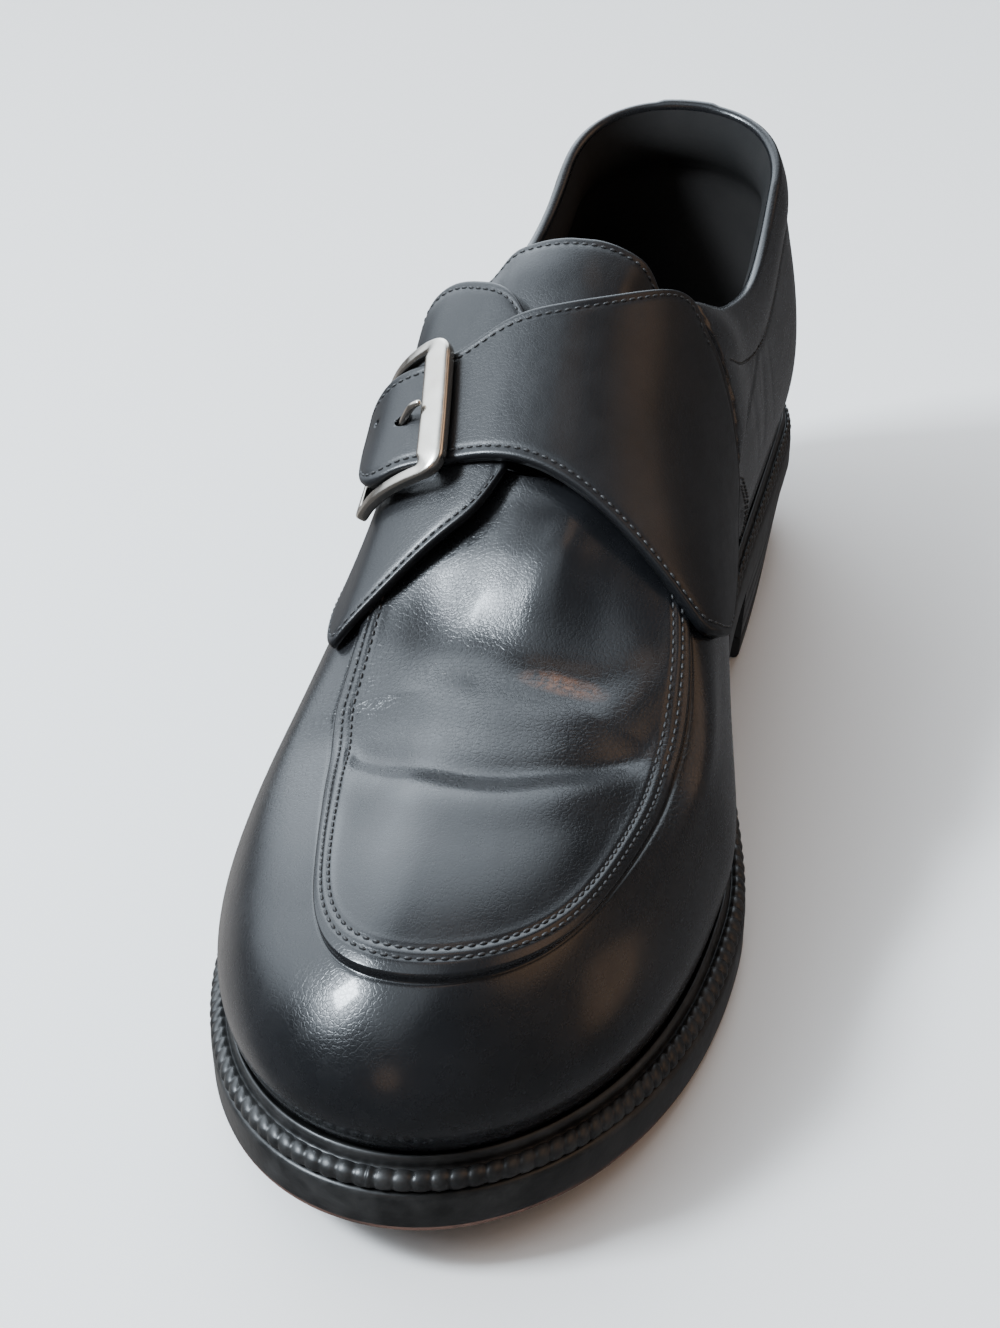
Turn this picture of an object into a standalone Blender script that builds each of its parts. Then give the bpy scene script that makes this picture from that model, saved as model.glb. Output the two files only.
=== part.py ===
"""Monk strap shoe for the right foot, as an assembly of separate pieces.

Sizes in the tables are millimetres, and the objects are in metres. The toe points to -Y, the medial side
is +X, and the floor is Z = 0. A station is a distance along the shoe from the back of the heel. Between the
two poles it is a plain cross-section, and round the heel and the toe the sections fan out from a pole.
"""
import math

import bpy
import numpy as np

MM = 0.001
LATERAL = -1.0
MEDIAL = 1.0

# Driving sizes of the sole
SOLE_LENGTH = 305.0
HEEL_POLE = 36.0
TOE_POLE = 212.0
HEEL_ROUNDNESS = 2.2
TOE_ROUNDNESS = 2.0
HEEL_HEIGHT = 21.5
HEEL_BREAST = 97.0
TREAD_START = 200.0
TREAD_END = 226.0
TOE_SPRING = 11.0
SPRING_CURVE = 1.7
SOLE_STACK = 14.8
WELT_THICKNESS = 5.0
TOP_LIFT = 6.0
GAP = 0.3
SOLE_EDGE_RADIUS = 1.2
BED_INSET = 4.2
HEEL_SET_IN = 0.6
HEEL_TAPER = 1.0
HEEL_BACK_TAPER = 3.0

# Section of the welt: inset from the sole's edge or from the upper's edge, and rise above its underside
WELT = (
    ("sole", 1.2, 0.0),
    ("sole", 0.2, 1.2),
    ("sole", 0.4, 3.0),
    ("sole", 1.2, 3.8),
    ("upper", -2.2, 3.8),
    ("upper", -2.0, 5.5),
    ("upper", -1.4, 6.0),
    ("upper", -0.8, 5.5),
    ("upper", -0.7, 5.0),
    ("upper", 3.8, 5.0),
    ("upper", 3.8, 0.0),
)

# Numbers of steps round the sole
HEEL_STEPS = 6
LIFT_STEPS = 8
SEAT_STEPS = 5
WAIST_STEPS = 9
TOE_STEPS = 13

# Half-widths of the sole from the shoe's axis
OUTLINE_COLUMNS = ("station", "lateral", "medial")
OUTLINE = (
    (36.0, 36.0, 36.0),
    (70.0, 36.5, 35.5),
    (105.0, 38.5, 34.5),
    (140.0, 44.0, 35.5),
    (175.0, 50.5, 44.0),
    (212.0, 54.0, 51.0),
)

# Shift that puts the middle of the whole width on X = 0
AXIS_SHIFT = (OUTLINE[-1][1] - OUTLINE[-1][2]) / 2

# How far the sole stands out from the upper's lower edge
MARGIN_COLUMNS = ("station", "margin")
MARGIN = (
    (0.0, 4.0),
    (60.0, 4.0),
    (120.0, 3.4),
    (180.0, 5.0),
    (225.0, 6.0),
    (305.0, 6.0),
)

# Cross-sections of the upper: widths as shares of the half-width at the lower edge, heights above that edge
SECTION_COLUMNS = (
    "station",
    "bulge_lateral", "bulge_medial", "bulge_rise",
    "wall_lateral", "wall_medial", "wall_rise",
    "shoulder_lateral", "shoulder_medial", "shoulder_rise",
)
SECTIONS = (
    (0.0, 1.085, 1.085, 19.0, 1.050, 1.050, 42.0, 0.945, 0.945, 62.0),
    (36.0, 1.080, 1.080, 17.0, 1.020, 1.020, 38.0, 0.900, 0.900, 58.0),
    (75.0, 1.070, 1.080, 16.0, 1.000, 1.020, 38.0, 0.890, 0.900, 57.0),
    (100.0, 1.060, 1.100, 16.0, 1.000, 1.070, 41.0, 0.830, 0.850, 62.0),
    (118.0, 1.050, 1.110, 15.5, 0.980, 1.100, 43.0, 0.760, 0.740, 68.0),
    (140.0, 1.050, 1.110, 15.0, 0.920, 1.120, 40.0, 0.675, 0.720, 64.0),
    (165.0, 1.050, 1.085, 14.0, 0.900, 1.055, 37.0, 0.625, 0.745, 57.0),
    (190.0, 1.060, 1.060, 13.5, 0.925, 0.975, 33.0, 0.645, 0.785, 46.5),
    (212.0, 1.060, 1.050, 13.0, 0.930, 0.945, 29.0, 0.690, 0.767, 36.5),
    (235.0, 1.050, 1.045, 12.5, 0.925, 0.935, 27.5, 0.675, 0.772, 34.0),
    (260.0, 1.045, 1.045, 12.0, 0.925, 0.940, 26.0, 0.668, 0.803, 33.0),
    (282.0, 1.040, 1.040, 11.5, 0.935, 0.945, 24.0, 0.722, 0.845, 31.0),
    (305.0, 1.035, 1.035, 11.0, 0.948, 0.948, 22.5, 0.832, 0.832, 29.5),
)
SHOULDER = 0.75
TURN_KNOTS = (0.0, 0.25, 0.5, SHOULDER, 1.0)

# Knots by length along the flat sections of the toe, and the stations over which they take over
TOE_KNOTS = (0.0, 0.13, 0.27, 0.40, 1.0)
TOE_BLEND = (196.0, 275.0)

# Top line of the form: height above the floor, and how far it leans to the medial side
RIDGE_COLUMNS = ("station", "height", "lean")
RIDGE = (
    (0.0, 120.0, 0.0),
    (50.0, 120.0, 0.0),
    (95.0, 120.0, -3.0),
    (118.0, 115.0, -5.0),
    (140.0, 102.5, -5.0),
    (165.0, 87.5, -4.0),
    (190.0, 71.0, -2.5),
    (212.0, 59.0, 0.0),
)
LEAN_START = 20.0
LEAN_END = 100.0
OPEN_WIDTH = 0.80
CLOSING_START = 84.0
CLOSING_END = 120.0

# Height of the collar's edge above the floor
TOPLINE_COLUMNS = ("station", "height")
TOPLINE = (
    (0.0, 112.0),
    (18.0, 109.5),
    (36.0, 102.0),
    (55.0, 94.0),
    (74.0, 90.5),
    (92.0, 93.0),
    (107.0, 98.0),
    (119.0, 102.0),
)
COLLAR_END = 119.0
THROAT_END = 168.0
THROAT_HALF = 0.25

# Thicknesses
WALL = 2.2
APRON_STEP = 1.0
APRON_START = 172.0
APRON_FADE = 12.0
APRON_EDGE = 0.006
COLLAR_BAND = 0.22
COLLAR_OUT = 1.0
COLLAR_IN = 3.0
COLLAR_FADE = 14.0
COLLAR_STEPS = 9
THROAT_STEPS = 6
VAMP_STEPS = 5
UPPER_ROWS = (
    0.0, 0.06, 0.14, 0.25, 0.37, 0.49, 0.61, 0.69,
    SHOULDER - APRON_EDGE, SHOULDER + APRON_EDGE,
    0.82, 0.88, 0.94, 1.0,
)
INSOLE_THICKNESS = 2.5
INSOLE_GAP = 0.7
STRAP_THICKNESS = 2.3
FLAP_THICKNESS = 1.8
TONGUE_THICKNESS = 2.0
PANEL_ROWS = 25
PANEL_STEPS = 8

# Panels over the upper, by share of the section: rear and front edges, and how far they stand off the form
PANEL_COLUMNS = ("side", "rear", "front", "lift")
STRAP = (
    (-0.358, 144.6, 150.0, 6.8),
    (-0.345, 143.4, 157.0, 6.8),
    (-0.320, 142.9, 163.5, 6.8),
    (-0.290, 142.9, 166.2, 6.8),
    (-0.230, 143.4, 166.4, 6.0),
    (-0.160, 142.6, 166.6, 4.3),
    (-0.080, 137.8, 167.2, 4.4),
    (0.000, 134.8, 168.6, 4.6),
    (0.100, 129.6, 172.7, 4.0),
    (0.180, 122.0, 178.0, 2.9),
    (0.235, 116.4, 181.8, 1.9),
    (0.300, 117.4, 184.3, 0.9),
    (0.350, 117.8, 182.4, 0.6),
    (0.400, 119.0, 179.8, 0.4),
    (0.440, 120.6, 177.0, 0.4),
    (0.480, 123.0, 173.0, 0.4),
    (0.520, 126.4, 163.0, 0.4),
    (0.560, 131.0, 146.0, 0.4),
)
FLAP = (
    (-0.560, 131.0, 148.0, 0.4),
    (-0.520, 126.4, 163.0, 0.4),
    (-0.470, 123.6, 178.0, 0.4),
    (-0.420, 122.2, 187.5, 0.4),
    (-0.380, 121.4, 193.0, 0.5),
    (-0.335, 121.0, 196.0, 1.0),
    (-0.294, 121.0, 194.5, 1.8),
    (-0.219, 122.0, 188.4, 2.1),
    (-0.156, 125.3, 182.4, 1.9),
    (-0.112, 128.2, 178.8, 1.9),
    (-0.075, 133.0, 174.6, 1.8),
    (-0.045, 139.5, 168.0, 1.8),
)
TONGUE = (
    (-0.330, 128.0, 166.0, -4.9),
    (-0.280, 121.0, 172.0, -4.9),
    (-0.230, 116.0, 174.2, -4.9),
    (-0.180, 113.2, 175.4, -4.9),
    (-0.100, 112.8, 176.0, -4.9),
    (0.000, 113.5, 176.0, -4.9),
    (0.100, 112.8, 176.0, -4.9),
    (0.180, 113.2, 175.4, -4.9),
    (0.230, 116.0, 174.2, -4.9),
    (0.280, 121.0, 172.0, -4.9),
    (0.330, 128.0, 166.0, -4.9),
)
TONGUE_RISE = 2.4
TONGUE_CLEAR = (0.05, 0.14)
TONGUE_RISE_START = 150.0
TONGUE_RISE_END = 122.0

# Buckle: centre lines of its bars by section, and its sizes
BUCKLE_COLUMNS = ("bar", "rear_station", "front_station", "rear_side", "front_side", "lift")
BUCKLE = (
    ("lateral", 140.3, 168.3, -0.372, -0.353, 5.0),
    ("medial", 141.3, 169.3, -0.181, -0.152, 8.7),
)
BUCKLE_LENGTH = 28.0
BUCKLE_WIDTH = 25.0
BUCKLE_CORNER = 3.2
BAR_HALF_WIDTH = 1.3
BAR_HALF_HEIGHT = 1.3
BROAD_BAR_HALF_WIDTH = 2.9
BROAD_BAR_HALF_HEIGHT = 1.7

# Prong from the lateral bar, through the strap, to the edge of the medial bar
PRONG_COLUMNS = ("station", "side", "lift", "radius")
PRONG = (
    (154.4, -0.350, 5.2, 0.80),
    (155.0, -0.275, 5.5, 0.80),
    (155.3, -0.243, 7.2, 0.85),
    (155.5, -0.214, 9.7, 0.85),
    (155.6, -0.197, 11.0, 0.80),
    (155.7, -0.181, 11.4, 0.60),
)
PRONG_HOLE_RADIUS = 1.45
SPARE_HOLE = (151.5, -0.300)
SPARE_HOLE_RADIUS = 0.9
SPARE_HOLE_LIFTS = (4.0, 12.0)
ROUND_STEPS = 12
CORNER_STEPS = 4
PRONG_STEPS = 15

# Colours of the materials
LEATHER_BLACK = (0.016, 0.017, 0.020)
SOLE_BLACK = (0.019, 0.018, 0.018)
RUBBER_BLACK = (0.015, 0.015, 0.015)
INSOLE_BLACK = (0.030, 0.028, 0.027)
NICKEL = (0.62, 0.57, 0.50)

# Fineness of searches and shading
TRIAL_TURNS = 201
SHARP_ANGLE = math.radians(40)


def spline(knots, values, places, start_slope=None, end_slope=None):
    """Smooth curve through the values; an end slope that is None is left free."""
    knots = np.asarray(knots, float)
    values = np.asarray(values, float)
    places = np.clip(np.asarray(places, float), knots[0], knots[-1])
    count = len(knots)
    step = np.diff(knots)
    rise = np.diff(values, axis=0) / step.reshape((-1,) + (1,) * (values.ndim - 1))
    system = np.eye(count)
    right = np.zeros_like(values)
    for row in range(1, count - 1):
        system[row, row - 1:row + 2] = (step[row - 1], 2 * (step[row - 1] + step[row]), step[row])
        right[row] = 6 * (rise[row] - rise[row - 1])
    if start_slope is not None:
        system[0, :2] = (2 * step[0], step[0])
        right[0] = 6 * (rise[0] - start_slope)
    if end_slope is not None:
        system[-1, -2:] = (step[-1], 2 * step[-1])
        right[-1] = 6 * (end_slope - rise[-1])
    bend = np.linalg.solve(system, right)
    cell = np.clip(np.searchsorted(knots, places) - 1, 0, count - 2)
    shape = places.shape + (1,) * (values.ndim - 1)
    width = step[cell].reshape(shape)
    after = ((places - knots[cell]) / step[cell]).reshape(shape)
    before = 1 - after
    curve = (before ** 3 - before) * bend[cell] + (after ** 3 - after) * bend[cell + 1]
    return before * values[cell] + after * values[cell + 1] + curve * width ** 2 / 6


def column(table, columns, name):
    """One named column of a table."""
    return [row[columns.index(name)] for row in table]


def read(table, columns, name, stations):
    """A table's column as a smooth curve that is level at both ends."""
    knots = column(table, columns, "station")
    return spline(knots, column(table, columns, name), stations, 0.0, 0.0)


def ease(value, start, end):
    """Soft step from 0 at start to 1 at end."""
    share = np.clip((np.asarray(value, float) - start) / (end - start), 0, 1)
    return share * share * (3 - 2 * share)


def superellipse(side_reach, end_reach, turn, roundness):
    """Distance from a pole to the outline, at an angle that is 0 straight ahead."""
    across = np.abs(np.sin(turn)) / side_reach
    along = np.abs(np.cos(turn)) / end_reach
    return (across ** roundness + along ** roundness) ** (-1 / roundness)


def frame_of(side, stations):
    """Pole and direction of each section, and the sole's reach along it."""
    stations = np.asarray(stations, float)
    name = "lateral" if side == LATERAL else "medial"
    pole = np.clip(stations, HEEL_POLE, TOE_POLE)
    heel_turn = np.clip(stations / HEEL_POLE, 0, 1) * math.pi / 2
    toe_turn = np.clip((SOLE_LENGTH - stations) / (SOLE_LENGTH - TOE_POLE), 0, 1) * math.pi / 2
    reach = read(OUTLINE, OUTLINE_COLUMNS, name, pole)
    widths = column(OUTLINE, OUTLINE_COLUMNS, name)
    heel_reach = superellipse(widths[0], HEEL_POLE, heel_turn, HEEL_ROUNDNESS)
    toe_reach = superellipse(widths[-1], SOLE_LENGTH - TOE_POLE, toe_turn, TOE_ROUNDNESS)
    in_heel = stations < HEEL_POLE
    in_toe = stations > TOE_POLE
    reach = np.where(in_heel, heel_reach, np.where(in_toe, toe_reach, reach))
    across = side * np.where(in_heel, np.sin(heel_turn), np.where(in_toe, np.sin(toe_turn), 1.0))
    along = np.where(in_heel, -np.cos(heel_turn), np.where(in_toe, np.cos(toe_turn), 0.0))
    return pole, across, along, reach


def underside(distance):
    """Height of the sole's underside by distance from the heel's back."""
    arch = HEEL_HEIGHT * (1 - ease(distance, HEEL_BREAST, TREAD_START))
    ahead = np.clip((distance - TREAD_END) / (SOLE_LENGTH - TREAD_END), 0, 1)
    return arch + TOE_SPRING * ahead ** SPRING_CURVE


def place(across, distance, height):
    """Points in the shoe's frame, in millimetres."""
    return np.stack([across + AXIS_SHIFT, SOLE_LENGTH / 2 - distance, height], axis=-1)


def sole_point(side, stations, inset, rise):
    """Points set in from the sole's edge, at a rise above the underside."""
    pole, across, along, reach = frame_of(side, stations)
    reach = reach - inset
    distance = pole + along * reach
    return place(across * reach, distance, underside(distance) + rise)


def feather_reach(side, stations):
    """Reach of the upper's lower edge along each section."""
    _, _, _, reach = frame_of(side, stations)
    return reach - read(MARGIN, MARGIN_COLUMNS, "margin", stations)


def section_curve(turns, toe, values, last_rise):
    """Smooth curve through a section's values, with the toe's knots blended in by a share."""
    values = np.stack(values, axis=-1)
    curve = np.zeros_like(turns)
    for knots, share in ((TURN_KNOTS, 1 - toe), (TOE_KNOTS, toe)):
        places = np.interp(turns, TURN_KNOTS, knots)
        weights = spline(knots, np.eye(len(knots)), places, None, 0.0)
        slope_weight = spline(knots, np.zeros(len(knots)), places, None, 1.0)
        end_slope = last_rise / (knots[-1] - knots[-2])
        curve += share * ((weights * values).sum(axis=-1) + slope_weight * end_slope)
    return curve


def last_point(side, stations, turns):
    """Point of the outer form: turn 0 is the lower edge and turn 1 the top line."""
    stations, turns = np.broadcast_arrays(np.asarray(stations, float), np.asarray(turns, float))
    shape = stations.shape
    stations = stations.ravel()
    turns = turns.ravel()
    pole, across, along, _ = frame_of(side, stations)
    reach = feather_reach(side, stations)
    edge = underside(pole + along * reach) + SOLE_STACK
    closing = ease(stations, CLOSING_START, CLOSING_END)
    ridge = read(RIDGE, RIDGE_COLUMNS, "height", np.minimum(stations, TOE_POLE))
    widths = [reach]
    heights = [edge]
    name = "_lateral" if side == LATERAL else "_medial"
    for part in ("bulge", "wall", "shoulder"):
        widths.append(reach * read(SECTIONS, SECTION_COLUMNS, part + name, stations))
        heights.append(edge + read(SECTIONS, SECTION_COLUMNS, part + "_rise", stations))
    widths.append(reach * OPEN_WIDTH * (1 - closing))
    heights.append(ridge)
    toe = ease(stations, *TOE_BLEND)
    width = section_curve(turns, toe, widths, widths[-1] - widths[-2])
    height = section_curve(turns, toe, heights, (heights[-1] - heights[-2]) * (1 - closing))
    lean = read(RIDGE, RIDGE_COLUMNS, "lean", np.minimum(stations, TOE_POLE))
    lean = lean * ease(height, LEAN_START, LEAN_END)
    return place(across * width + lean, pole + along * width, height).reshape(shape + (3,))


def last_normal(side, stations, turns):
    """Outward direction of the outer form."""
    station_step = 0.2
    turn_step = 0.004
    stations, turns = np.broadcast_arrays(np.asarray(stations, float), np.asarray(turns, float))
    before = np.clip(stations - station_step, 0, SOLE_LENGTH)
    after = np.clip(stations + station_step, 0, SOLE_LENGTH)
    lower = np.clip(turns - turn_step, 0, 1)
    upper = np.clip(turns + turn_step, 0, 1)
    forward = last_point(side, after, turns) - last_point(side, before, turns)
    upward = last_point(side, stations, upper) - last_point(side, stations, lower)
    normal = side * np.cross(upward, forward)
    on_ridge = (turns >= 1) & (stations >= CLOSING_END)
    level = np.stack([np.zeros_like(stations), forward[..., 2], -forward[..., 1]], axis=-1)
    normal = np.where(on_ridge[..., None], level, normal)
    at_pole = (stations >= TOE_POLE) & (turns > 1 - turn_step)
    normal = np.where(at_pole[..., None], np.array([0.0, 0.0, 1.0]), normal)
    ends = (stations <= 0) | (stations >= SOLE_LENGTH)
    normal[..., 0] = np.where(ends, 0.0, normal[..., 0])
    return normal / np.linalg.norm(normal, axis=-1, keepdims=True)


def skin(side, stations, turns, offsets):
    """Points at an offset outside the outer form."""
    offsets = np.asarray(offsets, float)[..., None]
    return last_point(side, stations, turns) + last_normal(side, stations, turns) * offsets


def across_skin(stations, sides, offsets):
    """Points by a signed share of the section: -1 lateral lower edge, 0 ridge, 1 medial lower edge."""
    lateral = skin(LATERAL, stations, 1 - np.abs(sides), offsets)
    medial = skin(MEDIAL, stations, 1 - np.abs(sides), offsets)
    return np.where((np.asarray(sides) < 0)[..., None], lateral, medial)


def throat_share(stations):
    """Share of the throat's full width, from 1 at the collar's end to 0 at the throat's end."""
    along = np.clip((stations - COLLAR_END) / (THROAT_END - COLLAR_END), 0, 1)
    return np.sqrt(1 - along ** 2)


def topline_turn(side, stations):
    """Turn at which each section ends: the collar's edge, the throat's edge, or the closed ridge."""
    stations = np.asarray(stations, float)
    wanted = read(TOPLINE, TOPLINE_COLUMNS, "height", stations)
    trial = np.linspace(0, 1, TRIAL_TURNS)
    turns = np.ones_like(stations)
    for index, station in enumerate(stations):
        if station <= COLLAR_END:
            heights = last_point(side, np.full_like(trial, station), trial)[:, 2]
            turns[index] = np.interp(wanted[index], np.maximum.accumulate(heights), trial)
    collar_end = turns[np.argmin(np.abs(stations - COLLAR_END))]
    throat = 1 - (1 - collar_end) * throat_share(stations)
    return np.where(stations <= COLLAR_END, turns, throat)


def weld(points):
    """Index of the first equal point for each point."""
    keys = {}
    return [keys.setdefault(tuple(np.round(point, 3)), index) for index, point in enumerate(points)]


def clean_faces(faces, index):
    """Faces on welded points, without the repeated corners that a pole leaves."""
    result = []
    for face in faces:
        corners = list(dict.fromkeys(index[corner] for corner in face))
        if len(corners) > 2:
            result.append(corners)
    return result


def grid_faces(rows, columns, ring):
    """Quads of a grid whose points run row by row."""
    faces = []
    for row in range(rows - 1):
        for place_in_row in range(columns if ring else columns - 1):
            after = (place_in_row + 1) % columns
            here = row * columns
            there = here + columns
            faces.append((here + place_in_row, here + after, there + after, there + place_in_row))
    return faces


def make_object(name, points, faces, material):
    """Closed mesh object from millimetre points, with its faces turned outward."""
    used = sorted({corner for face in faces for corner in face})
    number = {corner: index for index, corner in enumerate(used)}
    mesh = bpy.data.meshes.new(name)
    corners = [[number[corner] for corner in face] for face in faces]
    mesh.from_pydata([tuple(points[corner] * MM) for corner in used], [], corners)
    mesh.validate()
    mesh.update()
    turn_outward(mesh)
    mesh.shade_smooth()
    mesh.set_sharp_from_angle(angle=SHARP_ANGLE)
    if material:
        mesh.materials.append(material)
    made = bpy.data.objects.new(name, mesh)
    bpy.context.collection.objects.link(made)
    return made


def turn_outward(mesh):
    """Flip all faces where the enclosed volume is negative."""
    mesh.calc_loop_triangles()
    spots = np.array([vertex.co for vertex in mesh.vertices])
    triangles = np.array([triangle.vertices for triangle in mesh.loop_triangles])
    first, second, third = (spots[triangles[:, corner]] for corner in range(3))
    if np.einsum("ij,ij->i", first, np.cross(second, third)).sum() < 0:
        mesh.flip_normals()


def make_shell(name, outer, inner, ring, material):
    """Solid between two grids of equal layout."""
    rows, columns = outer.shape[:2]
    outer = outer.reshape(-1, 3)
    inner = inner.reshape(-1, 3)
    index = weld(outer)
    faces = clean_faces(grid_faces(rows, columns, ring), index)
    edges = {}
    for face in faces:
        for corner, after in zip(face, face[1:] + face[:1]):
            edges[(corner, after)] = True
    shift = len(outer)
    inside = [[corner + shift for corner in reversed(face)] for face in faces]
    rim = [
        [after, corner, corner + shift, after + shift]
        for corner, after in edges
        if (after, corner) not in edges
    ]
    return make_object(name, np.concatenate([outer, inner]), faces + inside + rim, material)


def make_stack(name, loops, capped, material):
    """Solid from closed loops that run lateral front to back, then medial back to front."""
    count = len(loops[0])
    points = np.concatenate(loops)
    faces = []
    for row in range(len(loops) if not capped else len(loops) - 1):
        here = row * count
        there = ((row + 1) % len(loops)) * count
        for spot in range(count):
            after = (spot + 1) % count
            faces.append((here + spot, here + after, there + after, there + spot))
    if capped:
        last = (len(loops) - 1) * count
        for spot in range(count // 2 - 1):
            far = count - 1 - spot
            faces.append((spot, far, far - 1, spot + 1))
            faces.append((last + spot, last + spot + 1, last + far - 1, last + far))
    return make_object(name, points, clean_faces(faces, weld(points)), material)


def sole_loop(stations, inset, rise, from_floor=False):
    """Closed loop round the sole at an inset from its edge."""
    halves = []
    for side in (LATERAL, MEDIAL):
        points = sole_point(side, stations, inset, rise)
        if from_floor:
            points[:, 2] = rise
        halves.append(points)
    return np.concatenate([halves[0][::-1], halves[1]])


def steps(start, end, count):
    """Places after a start, up to an end."""
    return np.linspace(start, end, count + 1)[1:]


def sole_stations():
    """Stations round the sole, close together where the outline turns."""
    return np.concatenate([
        [0.0],
        steps(0.0, HEEL_POLE, HEEL_STEPS),
        steps(HEEL_POLE, HEEL_BREAST, SEAT_STEPS),
        steps(HEEL_BREAST, TREAD_START, WAIST_STEPS),
        steps(TREAD_START, TOE_POLE, 1),
        steps(TOE_POLE, SOLE_LENGTH, TOE_STEPS),
    ])


def make_material(name, colour, roughness, metallic=0.0):
    """Plain material of one piece."""
    material = bpy.data.materials.new(name)
    material.use_nodes = True
    shader = material.node_tree.nodes["Principled BSDF"]
    shader.inputs["Base Color"].default_value = (*colour, 1.0)
    shader.inputs["Roughness"].default_value = roughness
    shader.inputs["Metallic"].default_value = metallic
    return material


def margin_inset(stations, inward):
    """Inset from the sole's edge of a line that lies inward of the upper's lower edge."""
    return read(MARGIN, MARGIN_COLUMNS, "margin", stations) + inward


def make_outsole(material):
    """Sole layer with a rounded edge and a raised bed inside the welt."""
    stations = sole_stations()
    top = SOLE_STACK - WELT_THICKNESS - GAP
    inner = margin_inset(stations, BED_INSET)
    loops = [
        sole_loop(stations, SOLE_EDGE_RADIUS, 0.0),
        sole_loop(stations, 0.0, SOLE_EDGE_RADIUS),
        sole_loop(stations, 0.0, top - SOLE_EDGE_RADIUS),
        sole_loop(stations, SOLE_EDGE_RADIUS, top),
        sole_loop(stations, inner, top),
        sole_loop(stations, inner, SOLE_STACK),
    ]
    return make_stack("outsole", loops, True, material)


def make_welt(material):
    """Strip on the outsole, with a bead against the upper and a lower shelf."""
    stations = sole_stations()
    under = SOLE_STACK - WELT_THICKNESS
    loops = []
    for line, inset, rise in WELT:
        start = margin_inset(stations, 0.0) if line == "upper" else 0.0
        loops.append(sole_loop(stations, start + inset, under + rise))
    return make_stack("welt", loops, False, material)


def heel_stations():
    """Stations round the heel, up to its breast."""
    return np.concatenate([
        [0.0],
        steps(0.0, HEEL_POLE, LIFT_STEPS),
        steps(HEEL_POLE, HEEL_BREAST, SEAT_STEPS),
    ])


def heel_inset(stations, height):
    """Taper of the heel towards the floor, strongest at its back."""
    share = 1 - height / HEEL_HEIGHT
    back = 1 - ease(stations, 0.0, HEEL_BREAST)
    return HEEL_SET_IN + share * (HEEL_TAPER + HEEL_BACK_TAPER * back)


def make_heel(material):
    """Block under the heel seat."""
    stations = heel_stations()
    low = TOP_LIFT + GAP / 2
    high = HEEL_HEIGHT - GAP
    loops = [
        sole_loop(stations, heel_inset(stations, height), height, from_floor=True)
        for height in (low, (low + high) / 2, high)
    ]
    return make_stack("heel", loops, True, material)


def make_top_lift(material):
    """Wearing layer of the heel, with an eased lower edge."""
    stations = heel_stations()
    high = TOP_LIFT - GAP / 2
    low_inset = heel_inset(stations, 0.0) + SOLE_EDGE_RADIUS
    loops = [
        sole_loop(stations, low_inset, 0.0, from_floor=True),
        sole_loop(stations, heel_inset(stations, SOLE_EDGE_RADIUS), SOLE_EDGE_RADIUS, from_floor=True),
        sole_loop(stations, heel_inset(stations, high), high, from_floor=True),
    ]
    return make_stack("heel_top_lift", loops, True, material)


def make_insole(material):
    """Board inside the upper's lower edge."""
    stations = sole_stations()
    inset = margin_inset(stations, WALL + INSOLE_GAP)
    low = SOLE_STACK + GAP
    loops = [
        sole_loop(stations, inset, low),
        sole_loop(stations, inset, low + INSOLE_THICKNESS),
    ]
    return make_stack("insole", loops, True, material)


def upper_stations():
    """Stations of the upper's columns, with the ends of collar and throat among them."""
    throat_turn = steps(0.0, math.pi / 2, THROAT_STEPS)
    return np.concatenate([
        [0.0],
        steps(0.0, HEEL_POLE, HEEL_STEPS),
        steps(HEEL_POLE, COLLAR_END, COLLAR_STEPS),
        COLLAR_END + (THROAT_END - COLLAR_END) * np.sin(throat_turn),
        steps(THROAT_END, TOE_POLE, VAMP_STEPS),
        steps(TOE_POLE, SOLE_LENGTH, TOE_STEPS),
    ])


def upper_offsets(stations, rows):
    """Outer and inner offsets: a step at the apron, and a roll along the collar."""
    stations, rows = np.meshgrid(stations, rows)
    apron = ease(stations, APRON_START, APRON_START + APRON_FADE) * (rows > SHOULDER)
    band = np.clip((rows - (1 - COLLAR_BAND)) / COLLAR_BAND, 0, 1)
    roll = np.sin(band * math.pi) * (1 - ease(stations, COLLAR_END - COLLAR_FADE, COLLAR_END))
    outer = APRON_STEP * apron + COLLAR_OUT * roll
    inner = -WALL - COLLAR_IN * roll
    return outer, inner


def make_upper(material):
    """Vamp, quarters and collar as one wall, open at the collar, the throat and underneath."""
    stations = upper_stations()
    rows = np.array(UPPER_ROWS)
    outer_offsets, inner_offsets = upper_offsets(stations, rows)
    outer = []
    inner = []
    for side in (LATERAL, MEDIAL):
        turns = rows[:, None] * topline_turn(side, stations)[None, :]
        spread = np.broadcast_to(stations, turns.shape)
        outer.append(skin(side, spread, turns, outer_offsets))
        inner.append(skin(side, spread, turns, inner_offsets))
    outer = np.concatenate([outer[0][:, ::-1], outer[1]], axis=1)
    inner = np.concatenate([inner[0][:, ::-1], inner[1]], axis=1)
    for grid in (outer, inner):
        grid[0, :, 2] += GAP
    return make_shell("upper", outer, inner, True, material)


def make_panel(name, table, thickness, raised, material):
    """Sheet over the form between the edges of a table."""
    sides = column(table, PANEL_COLUMNS, "side")
    rows = np.linspace(sides[0], sides[-1], PANEL_ROWS)
    edges = [spline(sides, column(table, PANEL_COLUMNS, edge), rows) for edge in ("rear", "front", "lift")]
    share = np.linspace(0, 1, PANEL_STEPS + 1)
    stations = edges[0][:, None] + (edges[1] - edges[0])[:, None] * share[None, :]
    spread = np.broadcast_to(rows[:, None], stations.shape)
    lift = np.broadcast_to(edges[2][:, None], stations.shape)
    if raised:
        lift = lift + tongue_rise(stations, spread)
    inner = across_skin(stations, spread, lift)
    outer = across_skin(stations, spread, lift + thickness)
    return make_shell(name, outer, inner, False, material)


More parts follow.
